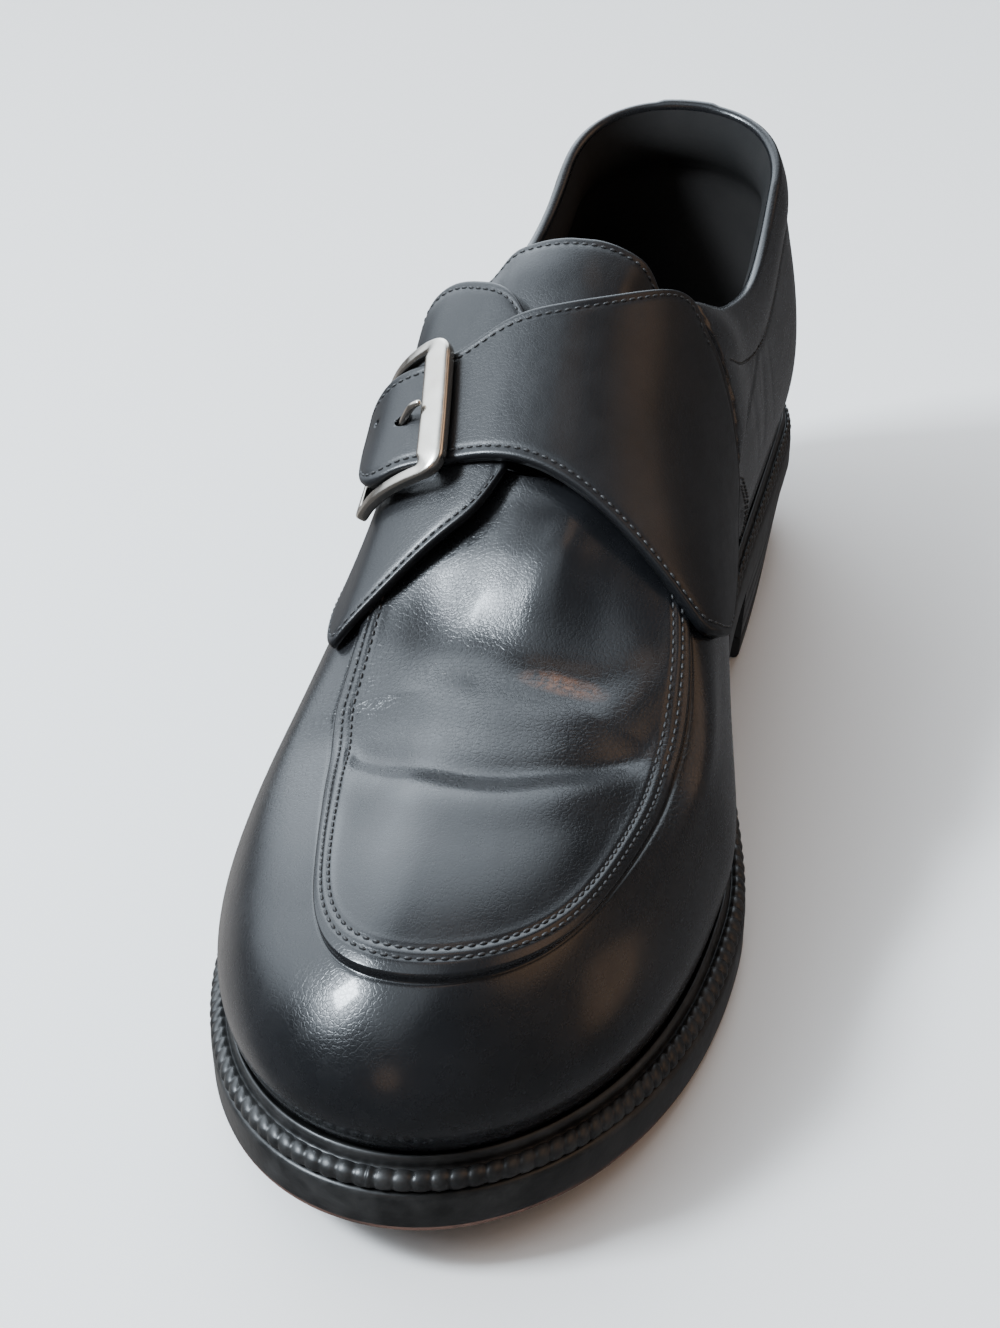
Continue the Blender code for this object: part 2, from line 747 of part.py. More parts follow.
def tongue_rise(stations, sides):
    """Rise of the tongue into the open throat, near its free end."""
    opening = THROAT_HALF * throat_share(stations)
    inside = ease(opening - np.abs(sides), *TONGUE_CLEAR)
    along = 1 - ease(stations, TONGUE_RISE_END, TONGUE_RISE_START)
    return TONGUE_RISE * inside * along


def buckle_point(along, across, lift):
    """Point of the buckle by millimetres along and across its centre lines."""
    along_share = along / BUCKLE_LENGTH
    across_share = across / BUCKLE_WIDTH
    values = {}
    for end in ("rear_station", "front_station", "rear_side", "front_side"):
        lateral, medial = column(BUCKLE, BUCKLE_COLUMNS, end)
        values[end] = lateral + (medial - lateral) * across_share
    station = values["rear_station"] + (values["front_station"] - values["rear_station"]) * along_share
    side = values["rear_side"] + (values["front_side"] - values["rear_side"]) * along_share
    return across_skin(station, side, lift)


def buckle_path():
    """Rounded rectangle of the buckle's centre line, with the outward direction at each place."""
    corners = (
        (BUCKLE_LENGTH, BUCKLE_WIDTH, 0),
        (0.0, BUCKLE_WIDTH, 1),
        (0.0, 0.0, 2),
        (BUCKLE_LENGTH, 0.0, 3),
    )
    places = []
    directions = []
    for along, across, quarter in corners:
        centre_along = along - math.copysign(BUCKLE_CORNER, along - BUCKLE_LENGTH / 2)
        centre_across = across - math.copysign(BUCKLE_CORNER, across - BUCKLE_WIDTH / 2)
        for turn in np.linspace(0, math.pi / 2, CORNER_STEPS + 1):
            angle = turn + quarter * math.pi / 2
            direction = (math.cos(angle), math.sin(angle))
            place_along = centre_along + BUCKLE_CORNER * direction[0]
            place_across = centre_across + BUCKLE_CORNER * direction[1]
            places.append((place_along, place_across))
            directions.append(direction)
    return np.array(places), np.array(directions)


def round_angles():
    """Angles round a bar, a pin or a hole."""
    return steps(0.0, 2 * math.pi, ROUND_STEPS)


def make_buckle_frame(material):
    """Four-sided frame with a broad half-round medial bar."""
    places, directions = buckle_path()
    lateral_lift, medial_lift = column(BUCKLE, BUCKLE_COLUMNS, "lift")
    loops = []
    for (along, across), direction in zip(places, directions):
        share = across / BUCKLE_WIDTH
        broad = ease(across, BUCKLE_WIDTH - BUCKLE_CORNER, BUCKLE_WIDTH) * abs(direction[1])
        half_width = BAR_HALF_WIDTH + (BROAD_BAR_HALF_WIDTH - BAR_HALF_WIDTH) * broad
        half_height = BAR_HALF_HEIGHT + (BROAD_BAR_HALF_HEIGHT - BAR_HALF_HEIGHT) * broad
        lift = lateral_lift + (medial_lift - lateral_lift) * share
        angles = round_angles()
        out = half_width * np.cos(angles)
        up = half_height * np.sin(angles)
        loops.append(buckle_point(along + out * direction[0], across + out * direction[1], lift + up))
    return make_stack("buckle_frame", loops, False, material)


def make_prong(material):
    """Tapered pin along a path by section."""
    knots = np.arange(len(PRONG))
    spots = np.linspace(0, len(PRONG) - 1, PRONG_STEPS + 1)
    path = {
        name: spline(knots, column(PRONG, PRONG_COLUMNS, name), spots)
        for name in PRONG_COLUMNS
    }
    centres = across_skin(path["station"], path["side"], path["lift"])
    forward = np.gradient(centres, axis=0)
    forward /= np.linalg.norm(forward, axis=-1, keepdims=True)
    sideways = np.cross(forward, np.array([0.0, 0.0, 1.0]))
    sideways /= np.linalg.norm(sideways, axis=-1, keepdims=True)
    upward = np.cross(sideways, forward)
    angles = round_angles()
    loops = []
    for index, centre in enumerate(centres):
        ring = np.cos(angles)[:, None] * sideways[index] + np.sin(angles)[:, None] * upward[index]
        loops.append(centre + ring * path["radius"][index])
    return make_stack("buckle_prong", loops, True, material)


def make_cutter(name, start, end, radius):
    """Hidden round cutter between two points."""
    axis = (end - start) / np.linalg.norm(end - start)
    sideways = np.cross(axis, np.array([0.0, 0.0, 1.0]))
    sideways /= np.linalg.norm(sideways)
    upward = np.cross(sideways, axis)
    angles = round_angles()
    ring = radius * (np.cos(angles)[:, None] * sideways + np.sin(angles)[:, None] * upward)
    cutter = make_stack(name, [start + ring, end + ring], True, None)
    cutter.hide_render = True
    cutter.display_type = "WIRE"
    return cutter


def cut_hole(piece, cutter):
    """Take a cutter out of a piece."""
    modifier = piece.modifiers.new(cutter.name, "BOOLEAN")
    modifier.operation = "DIFFERENCE"
    modifier.solver = "EXACT"
    modifier.object = cutter


def make_strap(material):
    """Strap from the medial side over the throat to its tail, with the prong's hole and a spare one."""
    strap = make_panel("strap", STRAP, STRAP_THICKNESS, False, material)
    low, high = PRONG[1], PRONG[3]
    hole_stations = np.array([low[0], high[0], SPARE_HOLE[0], SPARE_HOLE[0]])
    hole_sides = np.array([low[1], high[1], SPARE_HOLE[1], SPARE_HOLE[1]])
    hole_lifts = np.array([low[2], high[2], *SPARE_HOLE_LIFTS])
    ends = across_skin(hole_stations, hole_sides, hole_lifts)
    cut_hole(strap, make_cutter("prong_hole_cutter", ends[0], ends[1], PRONG_HOLE_RADIUS))
    cut_hole(strap, make_cutter("spare_hole_cutter", ends[2], ends[3], SPARE_HOLE_RADIUS))
    return strap


def main():
    for existing in list(bpy.data.objects):
        bpy.data.objects.remove(existing, do_unlink=True)
    make_outsole(make_material("black sole", SOLE_BLACK, 0.45))
    make_welt(make_material("black welt", SOLE_BLACK, 0.5))
    make_heel(make_material("black heel", SOLE_BLACK, 0.4))
    make_top_lift(make_material("heel rubber", RUBBER_BLACK, 0.6))
    make_insole(make_material("insole leather", INSOLE_BLACK, 0.6))
    make_upper(make_material("upper leather", LEATHER_BLACK, 0.32))
    make_panel("tongue", TONGUE, TONGUE_THICKNESS, True, make_material("tongue leather", LEATHER_BLACK, 0.34))
    make_panel("buckle_flap", FLAP, FLAP_THICKNESS, False, make_material("flap leather", LEATHER_BLACK, 0.33))
    make_strap(make_material("strap leather", LEATHER_BLACK, 0.33))
    make_buckle_frame(make_material("satin nickel", NICKEL, 0.25, 1.0))
    make_prong(make_material("prong nickel", NICKEL, 0.28, 1.0))


main()
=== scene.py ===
"""Looks of the monk strap shoe: fine leather panels, stitches, a ribbed welt, the buckle, light and camera.

The tables and functions of the form are the same as those of the solids, in millimetres. The toe points to
-Y, the medial side is +X, and the floor is Z = 0. A station is a distance from the back of the heel.
"""
import math

import bmesh
import bpy
import numpy as np
from mathutils import Matrix, Vector


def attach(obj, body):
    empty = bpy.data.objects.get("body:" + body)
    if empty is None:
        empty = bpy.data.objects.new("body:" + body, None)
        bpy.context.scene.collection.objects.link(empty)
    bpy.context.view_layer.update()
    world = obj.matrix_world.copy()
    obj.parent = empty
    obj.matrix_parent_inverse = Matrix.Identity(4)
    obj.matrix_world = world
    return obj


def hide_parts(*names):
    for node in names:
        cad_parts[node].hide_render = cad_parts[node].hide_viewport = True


MM = 0.001
LATERAL = -1.0
MEDIAL = 1.0

# Driving sizes of the sole
SOLE_LENGTH = 305.0
HEEL_POLE = 36.0
TOE_POLE = 212.0
HEEL_ROUNDNESS = 2.2
TOE_ROUNDNESS = 2.0
HEEL_HEIGHT = 21.5
HEEL_BREAST = 97.0
TREAD_START = 200.0
TREAD_END = 226.0
TOE_SPRING = 11.0
SPRING_CURVE = 1.7
SOLE_STACK = 14.8
WELT_THICKNESS = 5.0
TOP_LIFT = 6.0
GAP = 0.3
SOLE_EDGE_RADIUS = 1.2
BED_INSET = 4.2
HEEL_SET_IN = 0.6
HEEL_TAPER = 1.0
HEEL_BACK_TAPER = 3.0

# Half-widths of the sole from the shoe's axis
OUTLINE_COLUMNS = ("station", "lateral", "medial")
OUTLINE = (
    (36.0, 36.0, 36.0),
    (70.0, 36.5, 35.5),
    (105.0, 38.5, 34.5),
    (140.0, 44.0, 35.5),
    (175.0, 50.5, 44.0),
    (212.0, 54.0, 51.0),
)

# Shift that puts the middle of the whole width on X = 0
AXIS_SHIFT = (OUTLINE[-1][1] - OUTLINE[-1][2]) / 2

# How far the sole stands out from the upper's lower edge
MARGIN_COLUMNS = ("station", "margin")
MARGIN = (
    (0.0, 4.0),
    (60.0, 4.0),
    (120.0, 3.4),
    (180.0, 5.0),
    (225.0, 6.0),
    (305.0, 6.0),
)

# Cross-sections of the upper: widths as shares of the half-width at the lower edge, heights above that edge
SECTION_COLUMNS = (
    "station",
    "bulge_lateral", "bulge_medial", "bulge_rise",
    "wall_lateral", "wall_medial", "wall_rise",
    "shoulder_lateral", "shoulder_medial", "shoulder_rise",
)
SECTIONS = (
    (0.0, 1.085, 1.085, 19.0, 1.050, 1.050, 42.0, 0.945, 0.945, 62.0),
    (36.0, 1.080, 1.080, 17.0, 1.020, 1.020, 38.0, 0.900, 0.900, 58.0),
    (75.0, 1.070, 1.080, 16.0, 1.000, 1.020, 38.0, 0.890, 0.900, 57.0),
    (100.0, 1.060, 1.100, 16.0, 1.000, 1.070, 41.0, 0.830, 0.850, 62.0),
    (118.0, 1.050, 1.110, 15.5, 0.980, 1.100, 43.0, 0.760, 0.740, 68.0),
    (140.0, 1.050, 1.110, 15.0, 0.920, 1.120, 40.0, 0.675, 0.720, 64.0),
    (165.0, 1.050, 1.085, 14.0, 0.900, 1.055, 37.0, 0.625, 0.745, 57.0),
    (190.0, 1.060, 1.060, 13.5, 0.925, 0.975, 33.0, 0.645, 0.785, 46.5),
    (212.0, 1.060, 1.050, 13.0, 0.930, 0.945, 29.0, 0.690, 0.767, 36.5),
    (235.0, 1.050, 1.045, 12.5, 0.925, 0.935, 27.5, 0.675, 0.772, 34.0),
    (260.0, 1.045, 1.045, 12.0, 0.925, 0.940, 26.0, 0.668, 0.803, 33.0),
    (282.0, 1.040, 1.040, 11.5, 0.935, 0.945, 24.0, 0.722, 0.845, 31.0),
    (305.0, 1.035, 1.035, 11.0, 0.948, 0.948, 22.5, 0.832, 0.832, 29.5),
)
SHOULDER = 0.75
TURN_KNOTS = (0.0, 0.25, 0.5, SHOULDER, 1.0)

# Knots by length along the flat sections of the toe, and the stations over which they take over
TOE_KNOTS = (0.0, 0.13, 0.27, 0.40, 1.0)
TOE_BLEND = (196.0, 275.0)

# Top line of the form: height above the floor, and how far it leans to the medial side
RIDGE_COLUMNS = ("station", "height", "lean")
RIDGE = (
    (0.0, 120.0, 0.0),
    (50.0, 120.0, 0.0),
    (95.0, 120.0, -3.0),
    (118.0, 115.0, -5.0),
    (140.0, 102.5, -5.0),
    (165.0, 87.5, -4.0),
    (190.0, 71.0, -2.5),
    (212.0, 59.0, 0.0),
)
LEAN_START = 20.0
LEAN_END = 100.0
OPEN_WIDTH = 0.80
CLOSING_START = 84.0
CLOSING_END = 120.0

# Height of the collar's edge above the floor
TOPLINE_COLUMNS = ("station", "height")
TOPLINE = (
    (0.0, 112.0),
    (18.0, 109.5),
    (36.0, 102.0),
    (55.0, 94.0),
    (74.0, 90.5),
    (92.0, 93.0),
    (107.0, 98.0),
    (119.0, 102.0),
)
COLLAR_END = 119.0
THROAT_END = 168.0
THROAT_HALF = 0.25

# Thicknesses
WALL = 2.2
APRON_STEP = 1.0
APRON_START = 172.0
APRON_FADE = 12.0
COLLAR_BAND = 0.22
COLLAR_OUT = 1.0
COLLAR_IN = 3.0
COLLAR_FADE = 14.0
INSOLE_THICKNESS = 2.5
INSOLE_GAP = 0.7
STRAP_THICKNESS = 2.3
FLAP_THICKNESS = 1.8
TONGUE_THICKNESS = 2.0

# Panels over the upper, by share of the section: rear and front edges, and how far they stand off the form
PANEL_COLUMNS = ("side", "rear", "front", "lift")
STRAP = (
    (-0.358, 144.6, 150.0, 6.8),
    (-0.345, 143.4, 157.0, 6.8),
    (-0.320, 142.9, 163.5, 6.8),
    (-0.290, 142.9, 166.2, 6.8),
    (-0.230, 143.4, 166.4, 6.0),
    (-0.160, 142.6, 166.6, 4.3),
    (-0.080, 137.8, 167.2, 4.4),
    (0.000, 134.8, 168.6, 4.6),
    (0.100, 129.6, 172.7, 4.0),
    (0.180, 122.0, 178.0, 2.9),
    (0.235, 116.4, 181.8, 1.9),
    (0.300, 117.4, 184.3, 0.9),
    (0.350, 117.8, 182.4, 0.6),
    (0.400, 119.0, 179.8, 0.4),
    (0.440, 120.6, 177.0, 0.4),
    (0.480, 123.0, 173.0, 0.4),
    (0.520, 126.4, 163.0, 0.4),
    (0.560, 131.0, 146.0, 0.4),
)
FLAP = (
    (-0.560, 131.0, 148.0, 0.4),
    (-0.520, 126.4, 163.0, 0.4),
    (-0.470, 123.6, 178.0, 0.4),
    (-0.420, 122.2, 187.5, 0.4),
    (-0.380, 121.4, 193.0, 0.5),
    (-0.335, 121.0, 196.0, 1.0),
    (-0.294, 121.0, 194.5, 1.8),
    (-0.219, 122.0, 188.4, 2.1),
    (-0.156, 125.3, 182.4, 1.9),
    (-0.112, 128.2, 178.8, 1.9),
    (-0.075, 133.0, 174.6, 1.8),
    (-0.045, 139.5, 168.0, 1.8),
)
TONGUE = (
    (-0.330, 128.0, 166.0, -4.9),
    (-0.280, 121.0, 172.0, -4.9),
    (-0.230, 116.0, 174.2, -4.9),
    (-0.180, 113.2, 175.4, -4.9),
    (-0.100, 112.8, 176.0, -4.9),
    (0.000, 113.5, 176.0, -4.9),
    (0.100, 112.8, 176.0, -4.9),
    (0.180, 113.2, 175.4, -4.9),
    (0.230, 116.0, 174.2, -4.9),
    (0.280, 121.0, 172.0, -4.9),
    (0.330, 128.0, 166.0, -4.9),
)
TONGUE_RISE = 2.4
TONGUE_CLEAR = (0.05, 0.14)
TONGUE_RISE_START = 150.0
TONGUE_RISE_END = 122.0

# Buckle: centre lines of its bars by section, and its sizes
BUCKLE_COLUMNS = ("bar", "rear_station", "front_station", "rear_side", "front_side", "lift")
BUCKLE = (
    ("lateral", 140.3, 168.3, -0.372, -0.353, 5.0),
    ("medial", 141.3, 169.3, -0.181, -0.152, 8.7),
)
BUCKLE_LENGTH = 28.0
BUCKLE_WIDTH = 25.0
BUCKLE_CORNER = 3.2
BAR_HALF_WIDTH = 1.3
BAR_HALF_HEIGHT = 1.3
BROAD_BAR_HALF_WIDTH = 2.9
BROAD_BAR_HALF_HEIGHT = 1.7

# Prong from the lateral bar, through the strap, to the edge of the medial bar
PRONG_COLUMNS = ("station", "side", "lift", "radius")
PRONG = (
    (154.4, -0.350, 5.2, 0.80),
    (155.0, -0.275, 5.5, 0.80),
    (155.3, -0.243, 7.2, 0.85),
    (155.5, -0.214, 9.7, 0.85),
    (155.6, -0.197, 11.0, 0.80),
    (155.7, -0.181, 11.4, 0.60),
)
PRONG_HOLE_RADIUS = 1.45
SPARE_HOLE = (151.5, -0.300)
SPARE_HOLE_RADIUS = 0.9
SPARE_HOLE_LIFTS = (4.0, 12.0)

# Fineness of searches
TRIAL_TURNS = 201

# Fineness of shading and joining
SHARP_ANGLE = math.radians(50)
WELD_DISTANCE = 0.00002

# Softening of the ridge, and the lining that lies deeper below the creases, set in over this length
RIDGE_FADE = 6.0
LINING_SINK = 3.5

# Squareness and fineness of the buckle's bars, prong and holes
BAR_SQUARENESS = 0.5
BAR_SIDES = 36
BAR_SPACING = 1.5
CORNER_SPOTS = 11
PRONG_SPOTS = 60
PRONG_SIDES = 16
PRONG_END = 0.12
PRONG_END_LEAST = 0.05
HOLE_SIDES = 24

# Leather: lowest and highest roughness and coat, reflection, roughness of the coat off and on the folds,
# places along Y between which the folds set in and end, and cells of grain and cracks by scale and edge
LEATHER_GLOSS = {"polished_leather": (0.22, 0.35, 0.38), "panel_leather": (0.32, 0.46, 0.13)}
LEATHER_SPECULAR = 0.38
COAT_ROUGHNESS = (0.09, 0.22)
FOLDS_BEHIND = (-30.0, -55.0)
FOLDS_AHEAD = (-100.0, -78.0)
GRAIN_CELLS = (1150.0, 0.12)
CRACK_CELLS = (900.0, 0.16)

# Reflection and roughness of other things, by mean, smooth and rough where it varies, and the stretch
# along Y over which the sole's edge is worn
LINING_SPECULAR = 0.2
LINING_ROUGHNESS = 0.75
FLOOR_SPECULAR = 0.1
FLOOR_ROUGHNESS = (0.80, 0.72, 0.88)
NICKEL_ROUGHNESS = (0.24, 0.14, 0.32)
SOLE_ROUGHNESS = {"sole_black": (0.38, 0.30, 0.53), "heel_rubber": (0.55, 0.47, 0.70)}
WORN_ROUGHNESS = 0.6
THREAD_ROUGHNESS = 0.5
WORN_STRETCH = (-60.0, -120.0)

# Noises: features per metre, detail, roughness and stretch along Y
NOISES = {
    "leather_patches": (38.0, 5.0, 0.6, 1.0),
    "leather_scuffs": (210.0, 6.0, 0.7, 0.35),
    "leather_pores": (2400.0, 3.0, 0.5, 1.0),
    "leather_waves": (300.0, 4.0, 0.5, 1.0),
    "leather_dents": (80.0, 3.0, 0.5, 1.0),
    "mark_edge": (500.0, 5.0, 0.7, 1.0),
    "lining_patches": (30.0, 4.0, 0.5, 1.0),
    "lining_nap": (1500.0, 4.0, 0.5, 1.0),
    "sole_marks": (160.0, 6.0, 0.65, 1.0),
    "sole_grain": (700.0, 5.0, 0.5, 1.0),
    "worn_spots": (120.0, 5.0, 0.65, 1.0),
    "worn_grain": (500.0, 5.0, 0.5, 1.0),
    "thread_shade": (1800.0, 2.0, 0.5, 1.0),
    "thread_twist": (3500.0, 2.0, 0.5, 1.0),
    "metal_scratches": (420.0, 6.0, 0.7, 0.15),
    "metal_patches": (120.0, 4.0, 0.5, 1.0),
    "floor_patches": (3.0, 3.0, 0.5, 1.0),
}

# Ranges of the noises over which a share grows from 0 to 1
RANGES = {
    "leather_patches": (0.35, 0.70),
    "leather_scuffs": (0.35, 0.75),
    "mark_edge": (0.35, 0.60),
    "lining_patches": (0.30, 0.70),
    "sole_marks": (0.40, 0.75),
    "sole_gloss": (0.30, 0.80),
    "worn_spots": (0.25, 0.55),
    "metal_scratches": (0.30, 0.80),
    "metal_patches": (0.35, 0.75),
    "floor_patches": (0.30, 0.70),
}

# Bumps: strength, and height in metres
BUMPS = {
    "grain_cells": (0.16, 0.00010),
    "leather_pores": (0.18, 0.00010),
    "crack_cells": (0.28, 0.00014),
    "leather_waves": (0.06, 0.00040),
    "leather_dents": (0.10, 0.00070),
    "lining_nap": (0.20, 0.00020),
    "sole_grain": (0.15, 0.00030),
    "sole_marks": (0.12, 0.00050),
    "worn_grain": (0.30, 0.00040),
    "thread_twist": (0.40, 0.00020),
    "metal_scratches": (0.05, 0.00020),
}

# Groove of the welt beside the bead, outside the upper
WELT_GROOVE = 2.45

# Rows of stitches: where they start or end, and their spots; on the panels by edge, from side to side
WING_ROWS = (2.0, 4.6)
WING_STITCH_START = 0.03
WING_SPOTS = 80
SEAM_STITCH_START = 178.0
SEAM_SPOTS = (60, 120)
COLLAR_STITCH_END = 113.0
STRAP_STITCHES = (("front", -0.325, 0.50), ("rear", -0.34, 0.33))
FLAP_STITCHES = (("front", -0.52, -0.06), ("rear", -0.52, -0.06))
TONGUE_STITCHES = (("rear", -0.30, 0.30),)

# Colours, in linear light: pale and dark where a colour varies, and its mean
LEATHER_DARK = (0.0055, 0.0060, 0.0070)
LEATHER_PALE = (0.0120, 0.0122, 0.0135)
LINING_MEAN = (0.014, 0.013, 0.013)
LINING_DARK = (0.010, 0.010, 0.010)
LINING_PALE = (0.026, 0.024, 0.023)
THREAD_MEAN = (0.016, 0.016, 0.017)
THREAD_DARK = (0.010, 0.010, 0.011)
THREAD_PALE = (0.035, 0.034, 0.034)
NICKEL_MEAN = (0.66, 0.61, 0.54)
NICKEL_PALE = (0.70, 0.655, 0.585)
NICKEL_DARK = (0.55, 0.50, 0.44)
SOLE_MEAN = (0.012, 0.012, 0.012)
SOLE_BLACK = (0.010, 0.010, 0.010)
SOLE_PALE = (0.030, 0.029, 0.028)
SOLE_DARK = (0.0090, 0.0088, 0.0086)
WORN_BROWN = (0.13, 0.062, 0.042)
# Brown of the warm reflection painted in the dip behind the roll
REFLECTION_BROWN = (0.15, 0.058, 0.022)
FLOOR_PALE = (0.97, 0.95, 0.92)
FLOOR_SIZE = 30.0
COOL = (0.80, 0.90, 1.0)
WARM = (1.0, 0.62, 0.36)
NEUTRAL = (1.0, 0.98, 0.96)

# Key light: degrees round and over the floor, target in millimetres, distance and size in metres,
# power in watts
KEY_DIRECTION = (-114.0, 44.0)
KEY_TARGET = (0.0, -60.0, 50.0)
KEY_DISTANCE = 1.4
KEY_SIZE = 0.28
KEY_POWER = 34.0

# Room: its dim colour, and glows by degrees round and over the floor, inner and outer reach in degrees,
# strength and colour
ROOM_COLOUR = (0.13, 0.13, 0.135)
GLOWS = (
    (-113.0, 44.0, 3.0, 20.0, 7.0, COOL),
    (-66.0, 36.0, 4.0, 36.0, 3.4, COOL),
    (-14.0, 40.0, 5.0, 34.0, 3.4, COOL),
    (-24.0, 13.0, 4.0, 32.0, 2.8, COOL),
    (-150.0, 66.0, 4.0, 30.0, 1.6, COOL),
    (-178.0, 25.0, 2.0, 12.0, 1.0, WARM),
    (72.0, -3.0, 2.0, 13.0, 0.9, WARM),
    (76.0, 38.0, 3.0, 26.0, 1.2, WARM),
    (30.0, 80.0, 2.0, 12.0, 1.0, WARM),
    (-58.0, -30.0, 5.0, 30.0, 0.42, NEUTRAL),
)

# Apron: its edge by distance inward of the shoulder line, on each side
APRON_LINE_COLUMNS = ("station", "lateral", "medial")
APRON_LINE = (
    (172.0, -3.0, -3.2),
    (193.0, -2.2, -1.8),
    (210.0, -0.6, -1.4),
    (230.0, 0.8, -1.3),
    (255.0, 1.3, -0.5),
    (272.0, 1.2, -0.2),
    (283.0, -0.4, -1.0),
    (294.0, -3.2, -1.8),
    (305.0, -2.4, -2.4),
)
TOE_STEP = 0.55
TOE_FLARE = 0.8
TOE_FLARE_REACH = 5.0
TOE_STEP_STATIONS = (245.0, 290.0)
EDGE_WIDTH = 0.45
SEAM_ROLL = 0.6
SEAM_ROLL_PLACE = 3.0
SEAM_ROLL_WIDTH = 2.7
SEAM_ROWS = (2.2, 4.3)
TOE_ROW_SHIFT = 1.1
TOE_ROW_STATIONS = (272.0, 300.0)
SEAM_FOOT = 0.25

# Relief of the quarters, in millimetres
PANEL_STEP = 0.8
STEP_WIDTH = 0.9
QUARTER_TOP_END = (118.0, 124.0)
QUARTER_RAMP = (94.0, 117.0)
STRAP_ROOT_EDGE = (-0.6, 0.5)
STRAP_ROOT_RISE = (0.0, 5.0)
BACK_STAY_HALF = 7.5
BACK_STAY_EDGE = 0.4
BACK_STAY_STEP = 0.6
COLLAR_BAND_WIDTH = 13.0
COLLAR_GROOVE = 0.35
COLLAR_GROOVE_WIDTH = 0.8
SEAM_GROOVE = 0.35
SEAM_GROOVE_WIDTH = 0.7

# Lower front edge of the quarters, by turn from the lower edge
WING_COLUMNS = ("turn", "station")
WING = (
    (0.00, 103.0),
    (0.12, 106.0),
    (0.25, 110.5),
    (0.35, 118.0),
    (0.42, 128.0),
    (0.50, 146.0),
)
WING_TOP = (0.46, 0.52)

# Seam across the quarter, from the collar band to the strap
QUARTER_SEAM_COLUMNS = ("station", "height")
QUARTER_SEAM = (
    (76.0, 80.0),
    (102.0, 72.5),
    (121.0, 67.5),
    (131.0, 65.5),
)
SEAM_START = (70.0, 78.0)
SEAM_END = (128.0, 134.0)

# Walking creases over the vamp: station and place across of their middle, lateral and medial bow,
# half-width, height and reach
CREASES = (
    (199.0, 6.0, 12.0, 11.0, 8.5, -0.8, 32.0),
    (217.0, 4.0, 13.0, 16.0, 8.5, 1.4, 38.0),
    (236.0, 1.0, 15.5, 22.5, 4.2, -0.85, 36.0),
    (234.5, 1.0, 15.5, 22.5, 7.0, -0.3, 38.0),
    (246.0, 1.0, 15.5, 22.5, 7.0, 0.7, 38.0),
)
CREASE_SPAN = 30.0
CREASE_FULL = 0.6
CREASE_EDGE = (-1.0, 7.0)

# Soft swells of the vamp: station, place across, half-length, half-width, height and drift across by length
SWELLS = (
    (183.0, 7.0, 16.0, 5.5, 1.3, -0.25),
    (203.0, -26.0, 12.0, 7.0, 0.6, 0.25),
    (197.0, 28.0, 12.0, 6.0, 0.9, -0.10),
    (186.0, -15.0, 17.0, 12.0, -2.4, -0.10),
    (192.0, 16.0, 12.0, 6.0, -0.6, 0.0),
)

# Brown patch on the vamp, a painted warm reflection in the dip behind the roll: its place, half-lengths and
# fade
MARK_PLACE = (13.0, -53.5, 59.5)
MARK_REACH = (10.0, 3.6, 10.0)
MARK_FADE = (1.0, 0.1)

# Fine creases on the quarters: station at the seam's height, slant, half-width and height
WRINKLES = (
    (70.0, 0.10, 1.6, -0.12),
    (80.5, -0.16, 2.6, -0.22),
    (86.0, 0.05, 1.5, -0.10),
    (95.0, 0.22, 2.2, -0.16),
)
WRINKLE_HEIGHTS = (48.0, 56.0, 70.0, 80.0)

# Stitches: their sizes, and their rings by place along the half-length and share of the radius
STITCH_RADIUS = 0.30
STITCH_LENGTH = 1.55
STITCH_PITCH = 2.1
STITCH_SINK = 0.12
STITCH_SIDES = 6
STITCH_RINGS = ((-1.0, 0.25), (-0.8, 0.75), (-0.35, 1.0), (0.35, 1.0), (0.8, 0.75), (1.0, 0.25))
STITCH_GROOVE = 0.22
GROOVE_WIDTH = 0.5
EDGE_INSET = 2.0
PANEL_EDGE = 0.9
EDGE_SPOTS = (0.0, 0.15, 0.35, 0.6, 0.95, 1.5, 2.0, 2.6)

# Fineness of the pieces
UPPER_STEPS = {"heel": 40, "collar": 84, "throat": 36, "instep": 44, "toe": 104}
SOLE_STEPS = {"heel": 32, "seat": 12, "arch": 40, "tread": 4, "toe": 90}
BLOCK_STEPS = {"heel": 40, "seat": 16}
SECTION_TRIALS = 241
EDGE_TRIALS = 2001
RIM_STEPS = 6
LINING_ROWS = 30
PANEL_ROWS = 110
PANEL_FILL = 46
LINE_SPOTS = 160
LOW_ROWS = 44
SEAM_ROWS_COUNT = 46
TOP_ROWS = 34
SEAM_BELOW = 6.0
SEAM_ABOVE = 8.0
SEAM_BLEND = (150.0, 172.0)

# Rows beside the ridge that are softened, and how often
RIDGE_ROWS = 11
RIDGE_PASSES = 30

# Reach of the smooth patch round the middle of the vamp, in millimetres
PATCH_REACH = 26.0
PATCH_BLEND = (11.0, 24.0)
PATCH_ORDER = 3

# Millimetres per unit of side over the instep
SIDE_SCALE = 130.0

